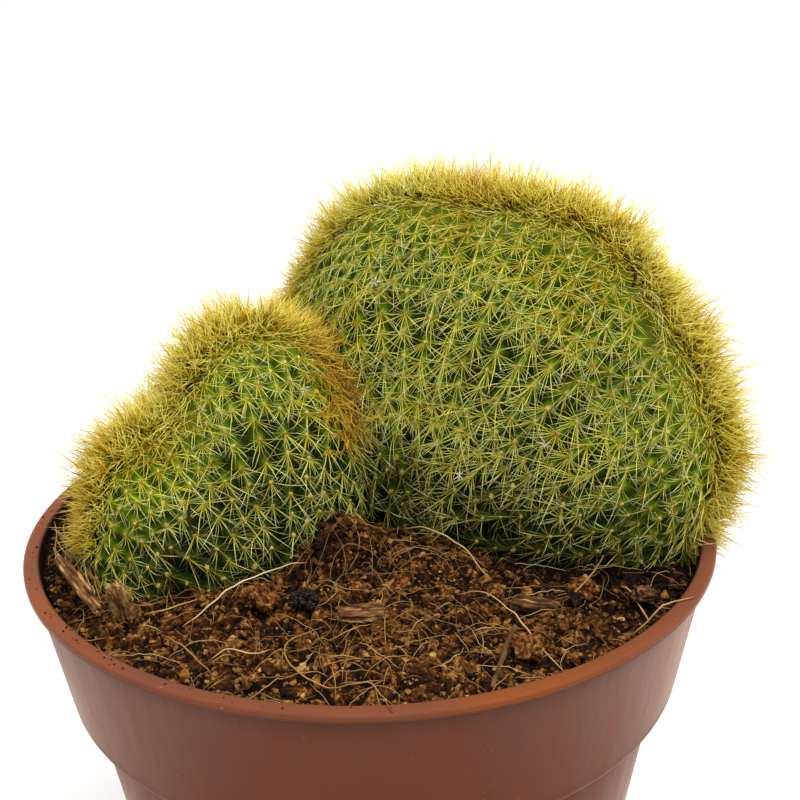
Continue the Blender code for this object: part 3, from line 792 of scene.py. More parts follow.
    # Its length, with a few stragglers, and its tint.
    reach = add_node(tree, "ShaderNodeMath", (chance[11], 0.0), operation="MAXIMUM")
    reach = add_node(tree, "ShaderNodeMath", (reach, 8.0), operation="POWER")
    reach = add_node(tree, "ShaderNodeMath", (reach, given["Stragglers"], 1.0), operation="MULTIPLY_ADD")
    spread = add_node(tree, "ShaderNodeMath", (chance[6], given["Length Spread"]), operation="MULTIPLY")
    reach = add_node(tree, "ShaderNodeMath", (spread, reach), operation="ADD")
    for share in (given["Length"], own["vigour"]):
        reach = add_node(tree, "ShaderNodeMath", (reach, share), operation="MULTIPLY")
    spread = add_node(tree, "ShaderNodeMath", (chance[7], given["Tint Spread"]), operation="MULTIPLY")
    tint = add_node(tree, "ShaderNodeMath", (spread, own["tint"]), operation="ADD")
    tint = add_node(tree, "ShaderNodeClamp", (tint, MAP_EDGE, 1 - MAP_EDGE))
    points = tufts["Geometry"]
    for name, value, kind in (
        ("reach", reach, "FLOAT"), ("spine_tint", tint, "FLOAT"), ("bow", bow, "FLOAT_VECTOR"),
    ):
        points = add_node(tree, "GeometryNodeStoreNamedAttribute", {
            "Geometry": points, "Name": name, "Value": value,
        }, data_type=kind, domain="POINT")
    placed = add_node(tree, "GeometryNodeInstanceOnPoints", {
        "Points": points, "Instance": needle,
        "Rotation": add_node(tree, "FunctionNodeAlignRotationToVector", {"Vector": aim}, axis="Z"),
        "Scale": add_node(tree, "ShaderNodeCombineXYZ", (given["Radius"], given["Radius"], own["reach"])),
    })
    solid = add_node(tree, "GeometryNodeRealizeInstances", [placed])
    sweep = add_node(tree, "ShaderNodeMath", (own["along"], own["along"]), operation="MULTIPLY")
    sweep = add_node(tree, "ShaderNodeMath", (sweep, own["reach"]), operation="MULTIPLY")
    sweep = add_node(tree, "ShaderNodeVectorMath", {0: own["bow"], "Scale": sweep}, operation="SCALE")
    solid = add_node(tree, "GeometryNodeSetPosition", {"Geometry": solid, "Offset": sweep})
    around = add_node(tree, "ShaderNodeMath", (own["around"], MAP_WIDTH), operation="MULTIPLY")
    across = add_node(tree, "ShaderNodeMath", (around, own["spine_tint"]), operation="ADD")
    solid = add_node(tree, "GeometryNodeStoreNamedAttribute", {
        "Geometry": solid, "Name": SHADE_MAP,
        "Value": add_node(tree, "ShaderNodeCombineXYZ", (across, own["along"])),
    }, data_type="FLOAT2", domain="CORNER")
    solid = add_node(tree, "GeometryNodeSetShadeSmooth", {"Geometry": solid})
    return end_tree(tree, solid, given["Material"])


def grown(name, tree, source, material, values):
    """Runs a node tree on a source object and returns the result as a plain mesh object."""
    growth = source.modifiers.new("growth", "NODES")
    growth.node_group = tree
    for item in tree.interface.items_tree:
        if item.name == "Material":
            growth[item.identifier] = material
        elif item.name in values:
            growth[item.identifier] = values[item.name]
    obj = made_plain(source, name)
    layers = obj.data.attributes
    for label in [layer.name for layer in layers if not layer.is_required and layer.name != SHADE_MAP]:
        layers.remove(layers[label])
    obj.data.materials.clear()
    obj.data.materials.append(material)
    return obj


def cushion_points(name, rows, lift, fields):
    """Points in mm with the attributes that the tufts read."""
    obj = new_object(name, [hit + normal * lift for hit, normal, *_ in rows], [])
    note_on_points(obj, "normal_out", [row[1] for row in rows])
    note_on_points(obj, "fall", [row[2] for row in rows])
    for label, values in fields.items():
        note_on_points(obj, label, values)
    return obj


def shade_map_material(name, settings, tints, lengthwise, grain=None):
    """A material coloured by the shade map: a tint across u, darkened or lightened along v."""
    made, tree, shader = new_material(name, settings)
    chart = add_node(tree, "ShaderNodeSeparateXYZ", [add_node(tree, "ShaderNodeUVMap", uv_map=SHADE_MAP)])
    tint = add_node(tree, "ShaderNodeValToRGB", [chart], stops=tints)
    run = add_node(tree, "ShaderNodeValToRGB", [chart.outputs[1]], stops=lengthwise)
    colour = add_node(tree, "ShaderNodeMix", {
        0: 1.0, 6: tint, 7: run,
    }, data_type="RGBA", blend_type="MULTIPLY")
    add_node(tree, shader, {"Base Color": colour})
    if grain:
        place = add_node(tree, "ShaderNodeTexCoord").outputs["Object"]
        add_node(tree, shader, {"Normal": fine_grain(tree, place, *grain)})
    return made


NEIGHBOURS = 6
USUAL_SPACING = 3.9  # mm between neighbouring cushions, where spines have their plain length
YOUNG_DOWN_TO = 6.0  # mm beside the crest, over which spines stop being young
CLOUDS = 14.0  # mm across the clouds of longer, redder spines
ROOTS_LIFT = 0.45  # mm above the skin, where spines come out of the wool


def face_fields(rows):
    """Vigour, plenty, lift and tint of the cushions on the faces, from their spacing, age and height. Near
    the mix the tint is painted darker as shade.
    """
    fields = {"vigour": [], "plenty": [], "upright": [], "tint": []}
    finder = cushion_finder(rows)
    for hit, _, _, travelled, _ in rows:
        apart = sum(found[2] for found in finder.find_n(hit, NEIGHBOURS + 1)) / NEIGHBOURS
        youth = math.exp(-(travelled - CREST_HALF_BAND) / YOUNG_DOWN_TO)
        low_fan = 1.0 if hit.x < FANS_MEET_X else 0.0
        foot = near_foot(hit)
        drift = noise.noise(hit / CLOUDS)
        roomy = min(1.4, max(0.8, apart / USUAL_SPACING))
        fields["vigour"].append((1.0 - 0.1 * youth - 0.25 * foot + 0.2 * drift) * roomy)
        fields["plenty"].append(1.0 - 0.2 * youth - 0.18 * foot - 0.12 * low_fan)
        fields["upright"].append(1.0 + 0.7 * youth)
        # Painted shade: the tint darkens towards the mix.
        fields["tint"].append(0.48 + 0.22 * youth - 0.42 * foot + 0.34 * drift)
    return fields


# Hardened spine tissue, satin: pale straw to golden yellow, fading to a pale tip. The dark low tints are
# painted shade near the mix, and the darker, more saturated root is partly its own rust and partly painted
# shade near the skin.
golden_spines = shade_map_material(
    "golden_spines", {"Roughness": 0.42, "IOR": 1.5, "Specular IOR Level": 0.3},
    ((0.0, "#3E3620"), (0.18, "#8E8846"), (0.4, "#F1F6C4"), (0.62, "#F3EC7E"), (0.78, "#E4C83C"),
     (0.9, "#CE9628"), (1.0, "#96541A")),
    ((0.0, "#D0A24C"), (0.1, "#D8CC54"), (0.36, "#E8E67C"), (0.75, "#FFFFF8")),
)
tuft_tree = spine_tuft_tree()
fields = face_fields(areoles)


def face_tufts(name, values):
    """One kind of spine on every cushion of both faces."""
    source = cushion_points(name + "_points", areoles, ROOTS_LIFT, fields)
    return finished(grown(name, tuft_tree, source, golden_spines, values), golden_spines, "bristles")


face_tufts("radial_spines", {
    "Spines": 14.0, "Length": 4.6 * MM, "Length Spread": 0.34, "Stragglers": 0.5, "Radius": 0.068 * MM,
    "Fan": math.radians(98), "Lift": math.radians(22), "Lift Spread": math.radians(18), "Bend": -0.14,
    "Curl": 0.34, "Stray": 0.22, "Tint Spread": 0.2, "Joints": 2, "Seed": 21,
})
face_tufts("central_spines", {
    "Spines": 5.0, "Length": 7.4 * MM, "Length Spread": 0.3, "Stragglers": 0.5, "Radius": 0.088 * MM,
    "Fan": math.radians(56), "Lift": math.radians(24), "Lift Spread": math.radians(16), "Bend": -0.18,
    "Curl": 0.26, "Stray": 0.16, "Tint Spread": 0.2, "Joints": 3, "Seed": 45,
})

CREST_MARKS = (  # fan, place on its growing line, reach in mm, change in length and in tint
    (MAIN_FAN, 158, 14.0, -0.35, 0.0), (MAIN_FAN, 95, 7.0, 0.0, 0.05), (MAIN_FAN, 52, 9.0, 0.0, 0.0),
    (MAIN_FAN, -14, 22.0, -0.14, 0.0), (SIDE_FAN, 62, 14.0, 0.0, 0.2), (SIDE_FAN, 205, 12.0, -0.4, 0.12),
)
TUFT_SIZE = 2.4  # mm across the tufts of longer, redder bristles
CREST_CLOUDS = 11.0  # mm across the slower changes along the line
LEAN_SIZES = ((2.2, 0.85), (9.0, 0.4))  # mm across what leans together, and how far it leans
CREST_ROOTS_LIFT = 0.1
LEAN_SEED = 4  # noise_vector draws its offsets with it, here and in the sections below


def crest_fields(rows):
    """The same for the cushions by a growing line: golden and upright on it, paler and flatter beside it."""
    marks = [(fan_point(fan, math.radians(at), math.pi / 2), *rest) for fan, at, *rest in CREST_MARKS]
    fields = {"vigour": [], "plenty": [], "upright": [], "tint": []}
    for hit, _, _, travelled, _ in rows:
        off = travelled / YOUNG_ROWS[-1]
        tufted = noise.noise(hit / TUFT_SIZE)
        drift = noise.noise(hit / CREST_CLOUDS)
        vigour = 1.0 - 0.25 * off + 0.42 * tufted + 0.2 * drift
        tint = 0.73 - 0.06 * off + 0.1 * drift + 0.06 * tufted
        ragged = max(0.0, off - 0.75 - 0.5 * noise.noise(hit / 6))
        for place, reach, longer, redder in marks:
            near = math.exp(-(((hit - place).length / reach) ** 2))
            vigour += longer * near
            tint += redder * near
        fields["vigour"].append(max(0.35, vigour))
        fields["plenty"].append(max(0.1, 1.0 - 0.3 * off - 2 * ragged))
        fields["upright"].append(1.0 - 0.45 * off)
        fields["tint"].append(tint)
    return fields


def crest_tufts(name, rows, node):
    """Upright bristles on the young cushions of one growing line, leaning together in tufts."""
    leaning = []
    for hit, normal, fall, travelled, apart in rows:
        lean = Vector()
        for size, amount in LEAN_SIZES:
            lean += noise.noise_vector(hit / size) * amount
        lean += fall * (0.6 * travelled / YOUNG_ROWS[-1])
        leaning.append((hit, (normal + lean).normalized(), fall, travelled, apart))
    source = cushion_points(name + "_points", leaning, CREST_ROOTS_LIFT, crest_fields(rows))
    obj = grown(name, tuft_tree, source, golden_spines, {
        "Spines": 11.0, "Length": 5.7 * MM, "Length Spread": 0.35, "Stragglers": 0.8, "Radius": 0.115 * MM,
        "Fan": math.radians(180), "Lift": math.radians(70), "Lift Spread": math.radians(20), "Bend": 0.1,
        "Curl": 0.4, "Stray": 0.16, "Tint Spread": 0.14, "Joints": 2, "Seed": 77,
    })
    return finished(obj, golden_spines, "bristles", node)


noise.seed_set(LEAN_SEED)
crest_tufts("main_crest", main_young, "main_crest_bristles")
crest_tufts("side_crest", side_young, "side_crest_bristles")


# ---------------------------------------------------------------------------------------------------------
# Areole wool. Short wool that the plant grows in each spine cushion, round the roots of its spines. It felts
# together as it weathers, cream when young and tan on the old faces.

WOOL_WIDTH = 0.48
WOOL_DEPTH = 0.4
WOOL_FUZZ = 0.25
WOOL_LIFT = 0.4


def wool_tree():
    """Nodes that seat a small felt pad on every cushion."""
    tree, given = new_tree("areole wool", {
        "Cushions": "Geometry", "Width": "Float", "Depth": "Float", "Seed": "Int", "Material": "Material",
    })
    pad = add_node(tree, "GeometryNodeMeshUVSphere", {"Segments": 6, "Rings": 4, "Radius": 1.0})
    out = add_node(tree, "GeometryNodeInputNamedAttribute", {"Name": "normal_out"}, data_type="FLOAT_VECTOR")
    size = add_node(tree, "FunctionNodeRandomValue", {2: 0.75, 3: 1.25, 8: given["Seed"]})
    width = add_node(tree, "ShaderNodeMath", (size, given["Width"]), operation="MULTIPLY")
    placed = add_node(tree, "GeometryNodeInstanceOnPoints", {
        "Points": given["Cushions"], "Instance": pad,
        "Rotation": add_node(tree, "FunctionNodeAlignRotationToVector", {"Vector": out}, axis="Z"),
        "Scale": add_node(tree, "ShaderNodeCombineXYZ", (width, width, given["Depth"])),
    })
    solid = add_node(tree, "GeometryNodeRealizeInstances", [placed])
    fuzz = add_node(tree, "ShaderNodeTexNoise", {"Scale": 1 / (0.5 * MM), "Detail": 1.0}, normalize=False)
    push = add_node(tree, "ShaderNodeVectorMath", {
        0: fuzz.outputs["Color"], "Scale": WOOL_FUZZ * MM,
    }, operation="SCALE")
    solid = add_node(tree, "GeometryNodeSetPosition", {"Geometry": solid, "Offset": push})
    solid = add_node(tree, "GeometryNodeSetShadeSmooth", {"Geometry": solid})
    return end_tree(tree, solid, given["Material"])


def blotches(tree, place, size, detail, stops, shift=0.0):
    """Blotches of a size in mm in the colours of the stops. The shift moves them all along the stops."""
    patch = add_node(tree, "ShaderNodeTexNoise", {
        "Vector": place, "Scale": 1 / (size * MM), "Detail": detail,
    })
    level = add_node(tree, "ShaderNodeMath", (patch, shift), operation="ADD")
    return add_node(tree, "ShaderNodeValToRGB", [level], stops=stops)


def blotched_material(name, settings, blotch, stops, grain=None):
    """A matt, uneven material: blotches (size in mm, detail) in the colours of the stops, with a grain."""
    made, tree, shader = new_material(name, settings)
    place = add_node(tree, "ShaderNodeTexCoord").outputs["Object"]
    add_node(tree, shader, {"Base Color": blotches(tree, place, *blotch, stops)})
    if grain:
        add_node(tree, shader, {"Normal": fine_grain(tree, place, *grain)})
    return made


# Plant wool, matt and felted: tan in its hollows, cream on its tufts.
wool = blotched_material(
    "areole_wool", {"Roughness": 0.95, "Specular IOR Level": 0.1}, (1.1, 3),
    ((0.3, "#92782E"), (0.5, "#BCA04C"), (0.72, "#E2D89E")),
)
wool_points = cushion_points("wool_points", areoles, WOOL_LIFT, fields)
wool_pads = grown("areole_wool", wool_tree(), wool_points, wool, {
    "Width": WOOL_WIDTH * MM, "Depth": WOOL_DEPTH * MM, "Seed": 5,
})
finished(wool_pads, wool, "bristles")


# ---------------------------------------------------------------------------------------------------------
# Potting mix. Coir and peat, filled loose and watered in: a plug the shape of the pot inside, its top a low
# dome with a socket where the stem stands in it, strewn with loose crumbs of husk that heap up in the notch
# between the two fans.

MIX_GAP = 0.3
MIX_CELLS = 190
CRUMB_LUMPS = ((3.8, 1.5), (1.6, 0.65), (0.75, 0.3))  # size and height of the crumbs' bumps, mm
# The flat patch at (42, -14) raises nothing: it is painted shadow under the tall fan's right side. The notch
# heap's darkening is partly painted shade.
HEAPS = (  # centre, spread, height and how much darker than the rest, mm
    (-6.5, -14.5, 4.0, 5.5, 0.22), (-1.0, -16.0, 4.5, 2.2, 0.15), (-61.0, -5.0, 7.5, 4.4, 0.5),
    (-57.0, -20.0, 5.0, 2.4, 0.25), (-44.0, -30.0, 4.0, 1.2, 0.1), (52.0, -24.0, 5.0, 1.5, 0.25),
    (42.0, -14.0, 10.0, 0.0, 0.65), (3.0, -38.5, 2.0, 1.4, 0.0), (32.0, -34.0, 2.4, 1.2, 0.1),
)
SHADE_TO_RISE = 2.5  # mm that a heap's whole darkening counts as lying deeper
HEAP_SHARE = 0.15  # of the crumbs, that fall on heaps
# Painted shade: crumbs this near the stem are darkened.
STEM_SHADE_REACH = 4.0  # mm from the stem
CRUMB_TINT = 0.52
TINT_CLOUDS = 6.0  # mm across drier and damper places
SPILT = 18
SPILT_ANGLE = (222, 28)  # middle and spread, degrees round the lip from the right
SPILT_INSET = (0.7, 2.2)
SPILT_SIZE = (0.12, 0.28)


def crumb_height(x, y):
    """Crumbs of a few sizes, packed side by side, in mm above or below the mix's plain top."""
    rise = 0.0
    for size, height in CRUMB_LUMPS:
        spot = Vector((x, y, size * 7)) / size
        near, next_near = noise.voronoi(spot)[0][:2]
        rise += height * (min(1.0, (next_near - near) * 1.6) ** 0.6 - 0.6)
    return rise


def heaped(x, y):
    """How far heaps raise the mix here, in mm, and how much darker it is, partly as painted shadow."""
    rise, dark = 0.0, 0.0
    for heap_x, heap_y, spread, height, shade in HEAPS:
        near = math.exp(-((x - heap_x) ** 2 + (y - heap_y) ** 2) / (2 * spread**2))
        rise += height * near
        dark += shade * near
    return rise, dark


def room_above(x, y, z):
    """How far the stem's skin is over a place, in mm. It is zero inside the stem."""
    hit, normal, _, reach = skin_tree.ray_cast(Vector((x, y, z)), Vector((0, 0, 1)))
    if hit is None:
        return math.inf
    return 0.0 if normal.z > 0 else reach


def disc_point(u, v):
    """A square's point moved to the unit disc, with cells of nearly even size."""
    if u == 0 and v == 0:
        return 0.0, 0.0
    if abs(u) > abs(v):
        radius, angle = u, math.pi / 4 * v / u
    else:
        radius, angle = v, math.pi / 2 - math.pi / 4 * u / v
    return radius * math.cos(angle), radius * math.sin(angle)


def mix_body():
    """The plug, top down: a fine disc of crumbs, then the pot's inside shape down to its floor."""
    wall = inside_profile(MIX_GAP)
    below_edge, above_edge = wall[-2:]
    share = (RIM_Z - MIX_EDGE_BELOW_RIM - below_edge[1]) / (above_edge[1] - below_edge[1])
    edge_radius = below_edge[0] + (above_edge[0] - below_edge[0]) * share
    side = MIX_CELLS + 1
    points, shade_levels = [], []
    for row in range(side):
        for column in range(side):
            u, v = disc_point(2 * column / MIX_CELLS - 1, 2 * row / MIX_CELLS - 1)
            rise, dark = heaped(u * edge_radius, v * edge_radius)
            # A heap by the wall follows the collar's slope outwards.
            reach = edge_radius + rise * math.tan(COLLAR_DRAFT) * math.hypot(u, v) ** 4
            x, y = u * reach, v * reach
            crumb = crumb_height(x, y)
            z = mix_height(x, y) + rise + crumb
            room = room_above(x, y, z)
            if room == 0:  # in the socket, under the stem
                z = skin_tree.ray_cast(Vector((x, y, 0)), Vector((0, 0, 1)))[0].z
            points.append((x, y, z - max(0.0, MIX_GAP - room)))
            # Crumb height and the heaps' darkening, by which the material paints shade in the pits.
            shade_levels.append(crumb - SHADE_TO_RISE * dark)
    faces = []
    for row in range(MIX_CELLS):
        for column in range(MIX_CELLS):
            a = row * side + column
            faces.append((a, a + 1, a + side + 1, a + side))
    rim = list(range(side))
    rim += [i * side + side - 1 for i in range(1, side)]
    rim += [(side - 1) * side + i for i in range(side - 2, -1, -1)]
    rim += [i * side for i in range(side - 2, 0, -1)]
    above = rim
    for radius, z in reversed(wall[1:-1]):
        below = []
        for index in rim:
            x, y, _ = points[index]
            stretch = radius / math.hypot(x, y)
            below.append(len(points))
            points.append((x * stretch, y * stretch, z))
            shade_levels.append(0.0)
        for i in range(len(rim)):
            j = (i + 1) % len(rim)
            faces.append((above[j], above[i], below[i], below[j]))
        above = below
    points.append((0, 0, wall[0][1]))
    shade_levels.append(0.0)
    for i in range(len(rim)):
        faces.append((above[(i + 1) % len(rim)], above[i], len(points) - 1))
    obj = new_object("coir_potting_mix", points, faces)
    note_on_points(obj, "crumb", shade_levels)
    obj.data.shade_smooth()
    return obj


def coir_mix():
    """Damp coir and peat, matt and rusty brown, with painted shade making it nearly black in the pits."""
    made, tree, shader = new_material("coir_and_peat", {"Roughness": 0.95, "Specular IOR Level": 0.1})
    place = add_node(tree, "ShaderNodeTexCoord").outputs["Object"]
    crumb = add_node(tree, "ShaderNodeAttribute", attribute_name="crumb").outputs["Fac"]
    # Painted shade: the lower the crumbs lie, the darker the mix.
    height = add_node(tree, "ShaderNodeMapRange", {
        "Value": crumb, "From Min": -0.9, "From Max": 0.9, "To Min": -0.3, "To Max": 0.3,
    })
    colour = blotches(
        tree, place, 0.9, 5,
        ((0.25, "#0A0502"), (0.46, "#331A07"), (0.62, "#6C4016"), (0.8, "#AC7E42")), height,
    )
    add_node(tree, shader, {"Base Color": colour, "Normal": fine_grain(tree, place, 0.35, 4, 0.8, 0.3)})
    return made


def crumb_tree():
    """Nodes that put a rough, flattened lump, turned at random, on every point."""
    tree, given = new_tree("crumbs", {
        "Places": "Geometry", "Detail": "Int", "Roughness": "Float", "Seed": "Int", "Material": "Material",
    })
    around, size, tint = (
        add_node(tree, "GeometryNodeInputNamedAttribute", {"Name": name}, data_type="FLOAT")
        for name in ("around", "size", "tint")
    )
    spot = add_node(tree, "ShaderNodeSeparateXYZ", [add_node(tree, "GeometryNodeInputPosition")]).outputs
    lump = add_node(tree, "GeometryNodeMeshIcoSphere", {"Radius": 1.0, "Subdivisions": given["Detail"]})
    lump = add_node(tree, "GeometryNodeStoreNamedAttribute", {
        "Geometry": lump, "Name": "around", "Value": spot["X"],
    }, data_type="FLOAT", domain="POINT")
    shape = add_node(tree, "FunctionNodeRandomValue", {
        0: (0.6, 0.45, 0.4), 1: (1.6, 0.9, 0.8), 8: given["Seed"],
    }, data_type="FLOAT_VECTOR")
    turn = add_node(tree, "FunctionNodeRandomValue", {
        0: (-0.6, -0.6, 0.0), 1: (0.6, 0.6, 6.3), 8: given["Seed"],
    }, data_type="FLOAT_VECTOR")
    placed = add_node(tree, "GeometryNodeInstanceOnPoints", {
        "Points": given["Places"], "Instance": lump, "Rotation": turn,
        "Scale": add_node(tree, "ShaderNodeVectorMath", {0: shape, "Scale": size}, operation="SCALE"),
    })
    solid = add_node(tree, "GeometryNodeRealizeInstances", [placed])
    rough = add_node(tree, "ShaderNodeTexNoise", {"Scale": 1 / (0.45 * MM), "Detail": 3.0}, normalize=False)
    reach = add_node(tree, "ShaderNodeMath", (size, given["Roughness"]), operation="MULTIPLY")
    push = add_node(tree, "ShaderNodeVectorMath", {
        0: rough.outputs["Color"], "Scale": reach,
    }, operation="SCALE")
    solid = add_node(tree, "GeometryNodeSetPosition", {"Geometry": solid, "Offset": push})
    across = add_node(tree, "ShaderNodeMath", (around, MAP_WIDTH, tint), operation="MULTIPLY_ADD")
    fleck = add_node(tree, "ShaderNodeTexNoise", {"Scale": 1 / (0.6 * MM), "Detail": 2.0})
    solid = add_node(tree, "GeometryNodeStoreNamedAttribute", {
        "Geometry": solid, "Name": SHADE_MAP,
        "Value": add_node(tree, "ShaderNodeCombineXYZ", (across, fleck)),
    }, data_type="FLOAT2", domain="CORNER")
    return end_tree(tree, solid, given["Material"])


def open_mix(x, y, size):
    """Whether a crumb of this size fits on the mix here, clear of the stem and of the pot's wall."""
    if math.hypot(x, y) > LIP_INNER_RADIUS - WALL / 2 - size:
        return False
    return room_above(x, y, mix_height(x, y) + heaped(x, y)[0]) > size


def strewn_crumbs(count, size_range, rng):
    """Places of loose crumbs: centre in mm, size and tint."""
    rows = []
    while len(rows) < count:
        size = size_range[0] * (size_range[1] / size_range[0]) ** (rng.random() ** 1.8)
        heap = rng.choice(HEAPS)
        if rng.random() < HEAP_SHARE:
            x, y = rng.gauss(heap[0], heap[2]), rng.gauss(heap[1], heap[2])
        else:
            x, y = (rng.uniform(-RIM_RADIUS, RIM_RADIUS) for _ in range(2))
        if not open_mix(x, y, size):
            continue
        rise, dark = heaped(x, y)
        lie = rise + crumb_height(x, y) + size * rng.uniform(-0.3, 0.5)
        place = Vector((x, y, mix_height(x, y) + lie))
        # Painted shade: crumbs darken near the stem and where the heaps paint the mix darker.
        stem_shade = math.exp(-((skin_tree.find_nearest(place)[3] / STEM_SHADE_REACH) ** 2))
        tint = CRUMB_TINT + 0.3 * noise.noise(Vector((x, y, 0)) / TINT_CLOUDS)
        tint += rng.gauss(0, 0.16) - dark - 0.25 * stem_shade
        rows.append((place, size, min(0.97, max(0.03, tint))))
    return rows


def spilt_crumbs(rng):
    """A few specks that lie on the pot's lip."""
    rows = []
    for _ in range(SPILT):
        angle, radius = math.radians(rng.gauss(*SPILT_ANGLE)), RIM_RADIUS - rng.uniform(*SPILT_INSET)
        size = rng.uniform(*SPILT_SIZE)
        place = Vector((radius * math.cos(angle), radius * math.sin(angle), RIM_Z + 0.4 * size))
        rows.append((place, size, rng.uniform(0.2, 0.5)))
    return rows


def crumb_field(name, count, size_range, detail, seed):
    """One size of loose crumbs, as one mesh."""
    rows = strewn_crumbs(count, size_range, random.Random(seed)) + spilt_crumbs(random.Random(seed))
    source = new_object(name + "_places", [row[0] for row in rows], [])
    note_on_points(source, "size", [row[1] * MM for row in rows])
    note_on_points(source, "tint", [row[2] for row in rows])
    obj = grown(name, crumbs_tree, source, loose_crumbs, {"Detail": detail, "Roughness": 0.7, "Seed": seed})
    obj.data.shade_flat()
    return finished(obj, loose_crumbs, "potting_mix")


finished(mix_body(), coir_mix(), "potting_mix", "potting_mix")

# Loose crumbs of coir pith and peat, matt: black-brown when wet, rusty when damp, tan husk when dry. The
# darkest tints also paint shade on crumbs near the stem and under the tall fan.
loose_crumbs = shade_map_material(
    "coir_crumbs", {"Roughness": 0.95, "Specular IOR Level": 0.15},
    ((0.0, "#16110B"), (0.25, "#4E3114"), (0.5, "#96682F"), (0.75, "#B68849"), (1.0, "#D0AC70")),
    ((0.3, "#382614"), (0.46, "#988066"), (0.62, "#FFFFFF")),
    grain=(0.4, 4, 0.9, 0.3),
)
crumbs_tree = crumb_tree()
crumb_field("fine_crumbs", 9000, (0.25, 0.8), 1, 3)
crumb_field("coarse_crumbs", 860, (0.65, 1.4), 2, 4)


# ---------------------------------------------------------------------------------------------------------
# Coir fibres. Single hairs of coconut husk, straw coloured, that worked out of the mix and lie over it in
# loose arcs: ten long stiff ones, a litter of finer ones half buried among the crumbs, and tangled shreds by
# the pot's wall.

FIBRE_ROUTES = [  # x, y and height above where a fibre lies, mm
    [(6, -12, 1.5), (10, -15, 3.2), (16, -18.5, 2.5), (19, -21.5, 1), (21, -25, 0)],
    [(-31, -35, 0), (-28, -32.5, 0.8), (-24.5, -29, 1.6), (-20, -25.5, 2), (-15, -22, 1.4), (-11, -20, 0.2)],
    [(-38, -31.5, 0), (-34, -31, 0.8), (-29, -28.5, 0.6)],
    [(33, -31, 0), (36, -29.5, 2.2), (38.5, -28.5, 5), (40, -28, 8)],
    [(15, -30, 0), (19, -30, 0.8), (22, -33, 1.2), (25, -38, 0.8), (28, -46, 0.4), (31, -50, 0)],
    [(44, -24.5, 0), (45, -27, 0.8), (46, -32, 0.4), (46.5, -36, 0)],
    [(43, -39.5, 0), (46.5, -38, 1.8), (50.5, -36.5, 0.2), (54, -35, 0)],
    [(4, -64.5, 0), (1, -58, 4.6), (-6, -53, 0.4), (-12, -47, 0), (-13, -41, 0.4), (-7, -37, 0)],
    [(-34, -37, 0), (-30, -41, 0.5), (-24, -49, 0)],
    [(-25, -45, 0), (-22, -43.5, 0.6), (-18.5, -44.5, 0.3), (-15.5, -42.5, 0)],
]
FIBRE_TINTS = (0.72, 0.97, 0.6, 0.5, 0.7, 0.75, 0.6, 0.35, 0.3, 0.75)
FIBRE_RADIUS = 0.14
FIBRE_LIE = 1.0  # mm above the mix's plain top, where a fibre rests on the crumbs
WANDER = (2.5, 0.3)  # how far apart a fibre's slight kinks are and how far they take it, mm
FIBRE_STEP = 0.9
HAIR_STEP = 0.95
HAIR_LIE = 0.45  # mm above the mix with its heaps
LITTERS = (  # name, count, centre, spread, points in a fibre, bend, radius, lightest and darkest tint
    ("fibre_litter", 340, (0.0, -10.0), 38.0, (4, 16), 0.11, 0.065, 0.0, 0.9),
    ("straw_litter", 46, (-2.0, -52.0), 12.0, (5, 12), 0.05, 0.11, 0.1, 0.65),
)
SHREDS = 34
SHRED_LINE = (Vector((-61.0, -2.0)), Vector((-45.0, -34.0)))  # along the pot's wall, mm
SHRED_SPREAD = 1.5
SHRED_STEPS = 12


def smooth_route(points, spacing):
    """Points at even spacing on a smooth curve through the given ones."""
    ends = [points[0] * 2 - points[1]] + points + [points[-1] * 2 - points[-2]]
    made = []
    for before, a, b, after in zip(ends, ends[1:], ends[2:], ends[3:]):
        count = max(1, round((b - a).length / spacing))
        for i in range(count):
            t = i / count
            made.append(
                a + (b - before) * (t / 2) + (before * 2 - a * 5 + b * 4 - after) * (t * t / 2)
                + (a * 3 - before - b * 3 + after) * (t**3 / 2)
            )
    return made + [points[-1]]


def strands(name, routes, tints, radius, sides, thin_end):
    """Closed tubes along the routes, thinner towards both ends, in one object with a shade map."""
    points, faces, charts = [], [], []
    for route, tint in zip(routes, tints):
        start = len(points)
        shade = tint * (1 - 2 * MAP_EDGE) + MAP_EDGE
        beside = Vector((0, 0, 1))
        for i, place in enumerate(route):
            ahead = (route[min(i + 1, len(route) - 1)] - route[max(i - 1, 0)]).normalized()
            beside = (beside - ahead * beside.dot(ahead)).normalized()
            third = ahead.cross(beside)
            run = i / (len(route) - 1)
            girth = radius * (thin_end + (1 - thin_end) * math.sin(math.pi * (0.15 + 0.7 * run)))
            for k in range(sides):
                turn = 2 * math.pi * k / sides
                points.append(place + (beside * math.cos(turn) + third * math.sin(turn)) * girth)
        rings = len(route)
        for i in range(rings - 1):
            for k in range(sides):
                a, b = start + i * sides + k, start + i * sides + (k + 1) % sides
                faces.append((a, b, b + sides, a + sides))
                charts += [(shade + MAP_WIDTH * (k + c[0]) / sides, (i + c[1]) / (rings - 1))
                           for c in ((0, 0), (1, 0), (1, 1), (0, 1))]
        for ring, order in ((0, -1), (rings - 1, 1)):
            faces.append(tuple(start + ring * sides + k for k in range(sides))[::order])
            charts += [(shade + MAP_WIDTH * k / sides, ring / (rings - 1)) for k in range(sides)]
    obj = new_object(name, points, faces)
    layer = obj.data.uv_layers.new(name=SHADE_MAP)
    layer.data.foreach_set("uv", [c for chart in charts for c in chart])
    obj.data.shade_smooth()
    return obj


def laid(route, lie, radius):
    """A route of x, y and height above the mix, as points that wander a little and pass over the lip."""
    bends = [Vector((x, y, mix_height(x, y) + lie + height)) for x, y, height in route]
    points = smooth_route(bends, FIBRE_STEP)
    points = [point + noise.noise_vector(point / WANDER[0]) * WANDER[1] for point in points]
    for point in points:
        over_lip = min(1.0, max(0.0, 1.8 + (math.hypot(point.x, point.y) - LIP_INNER_RADIUS) / 1.5))
        point.z += max(0.0, RIM_Z + radius + 0.1 - point.z) * over_lip
    return points


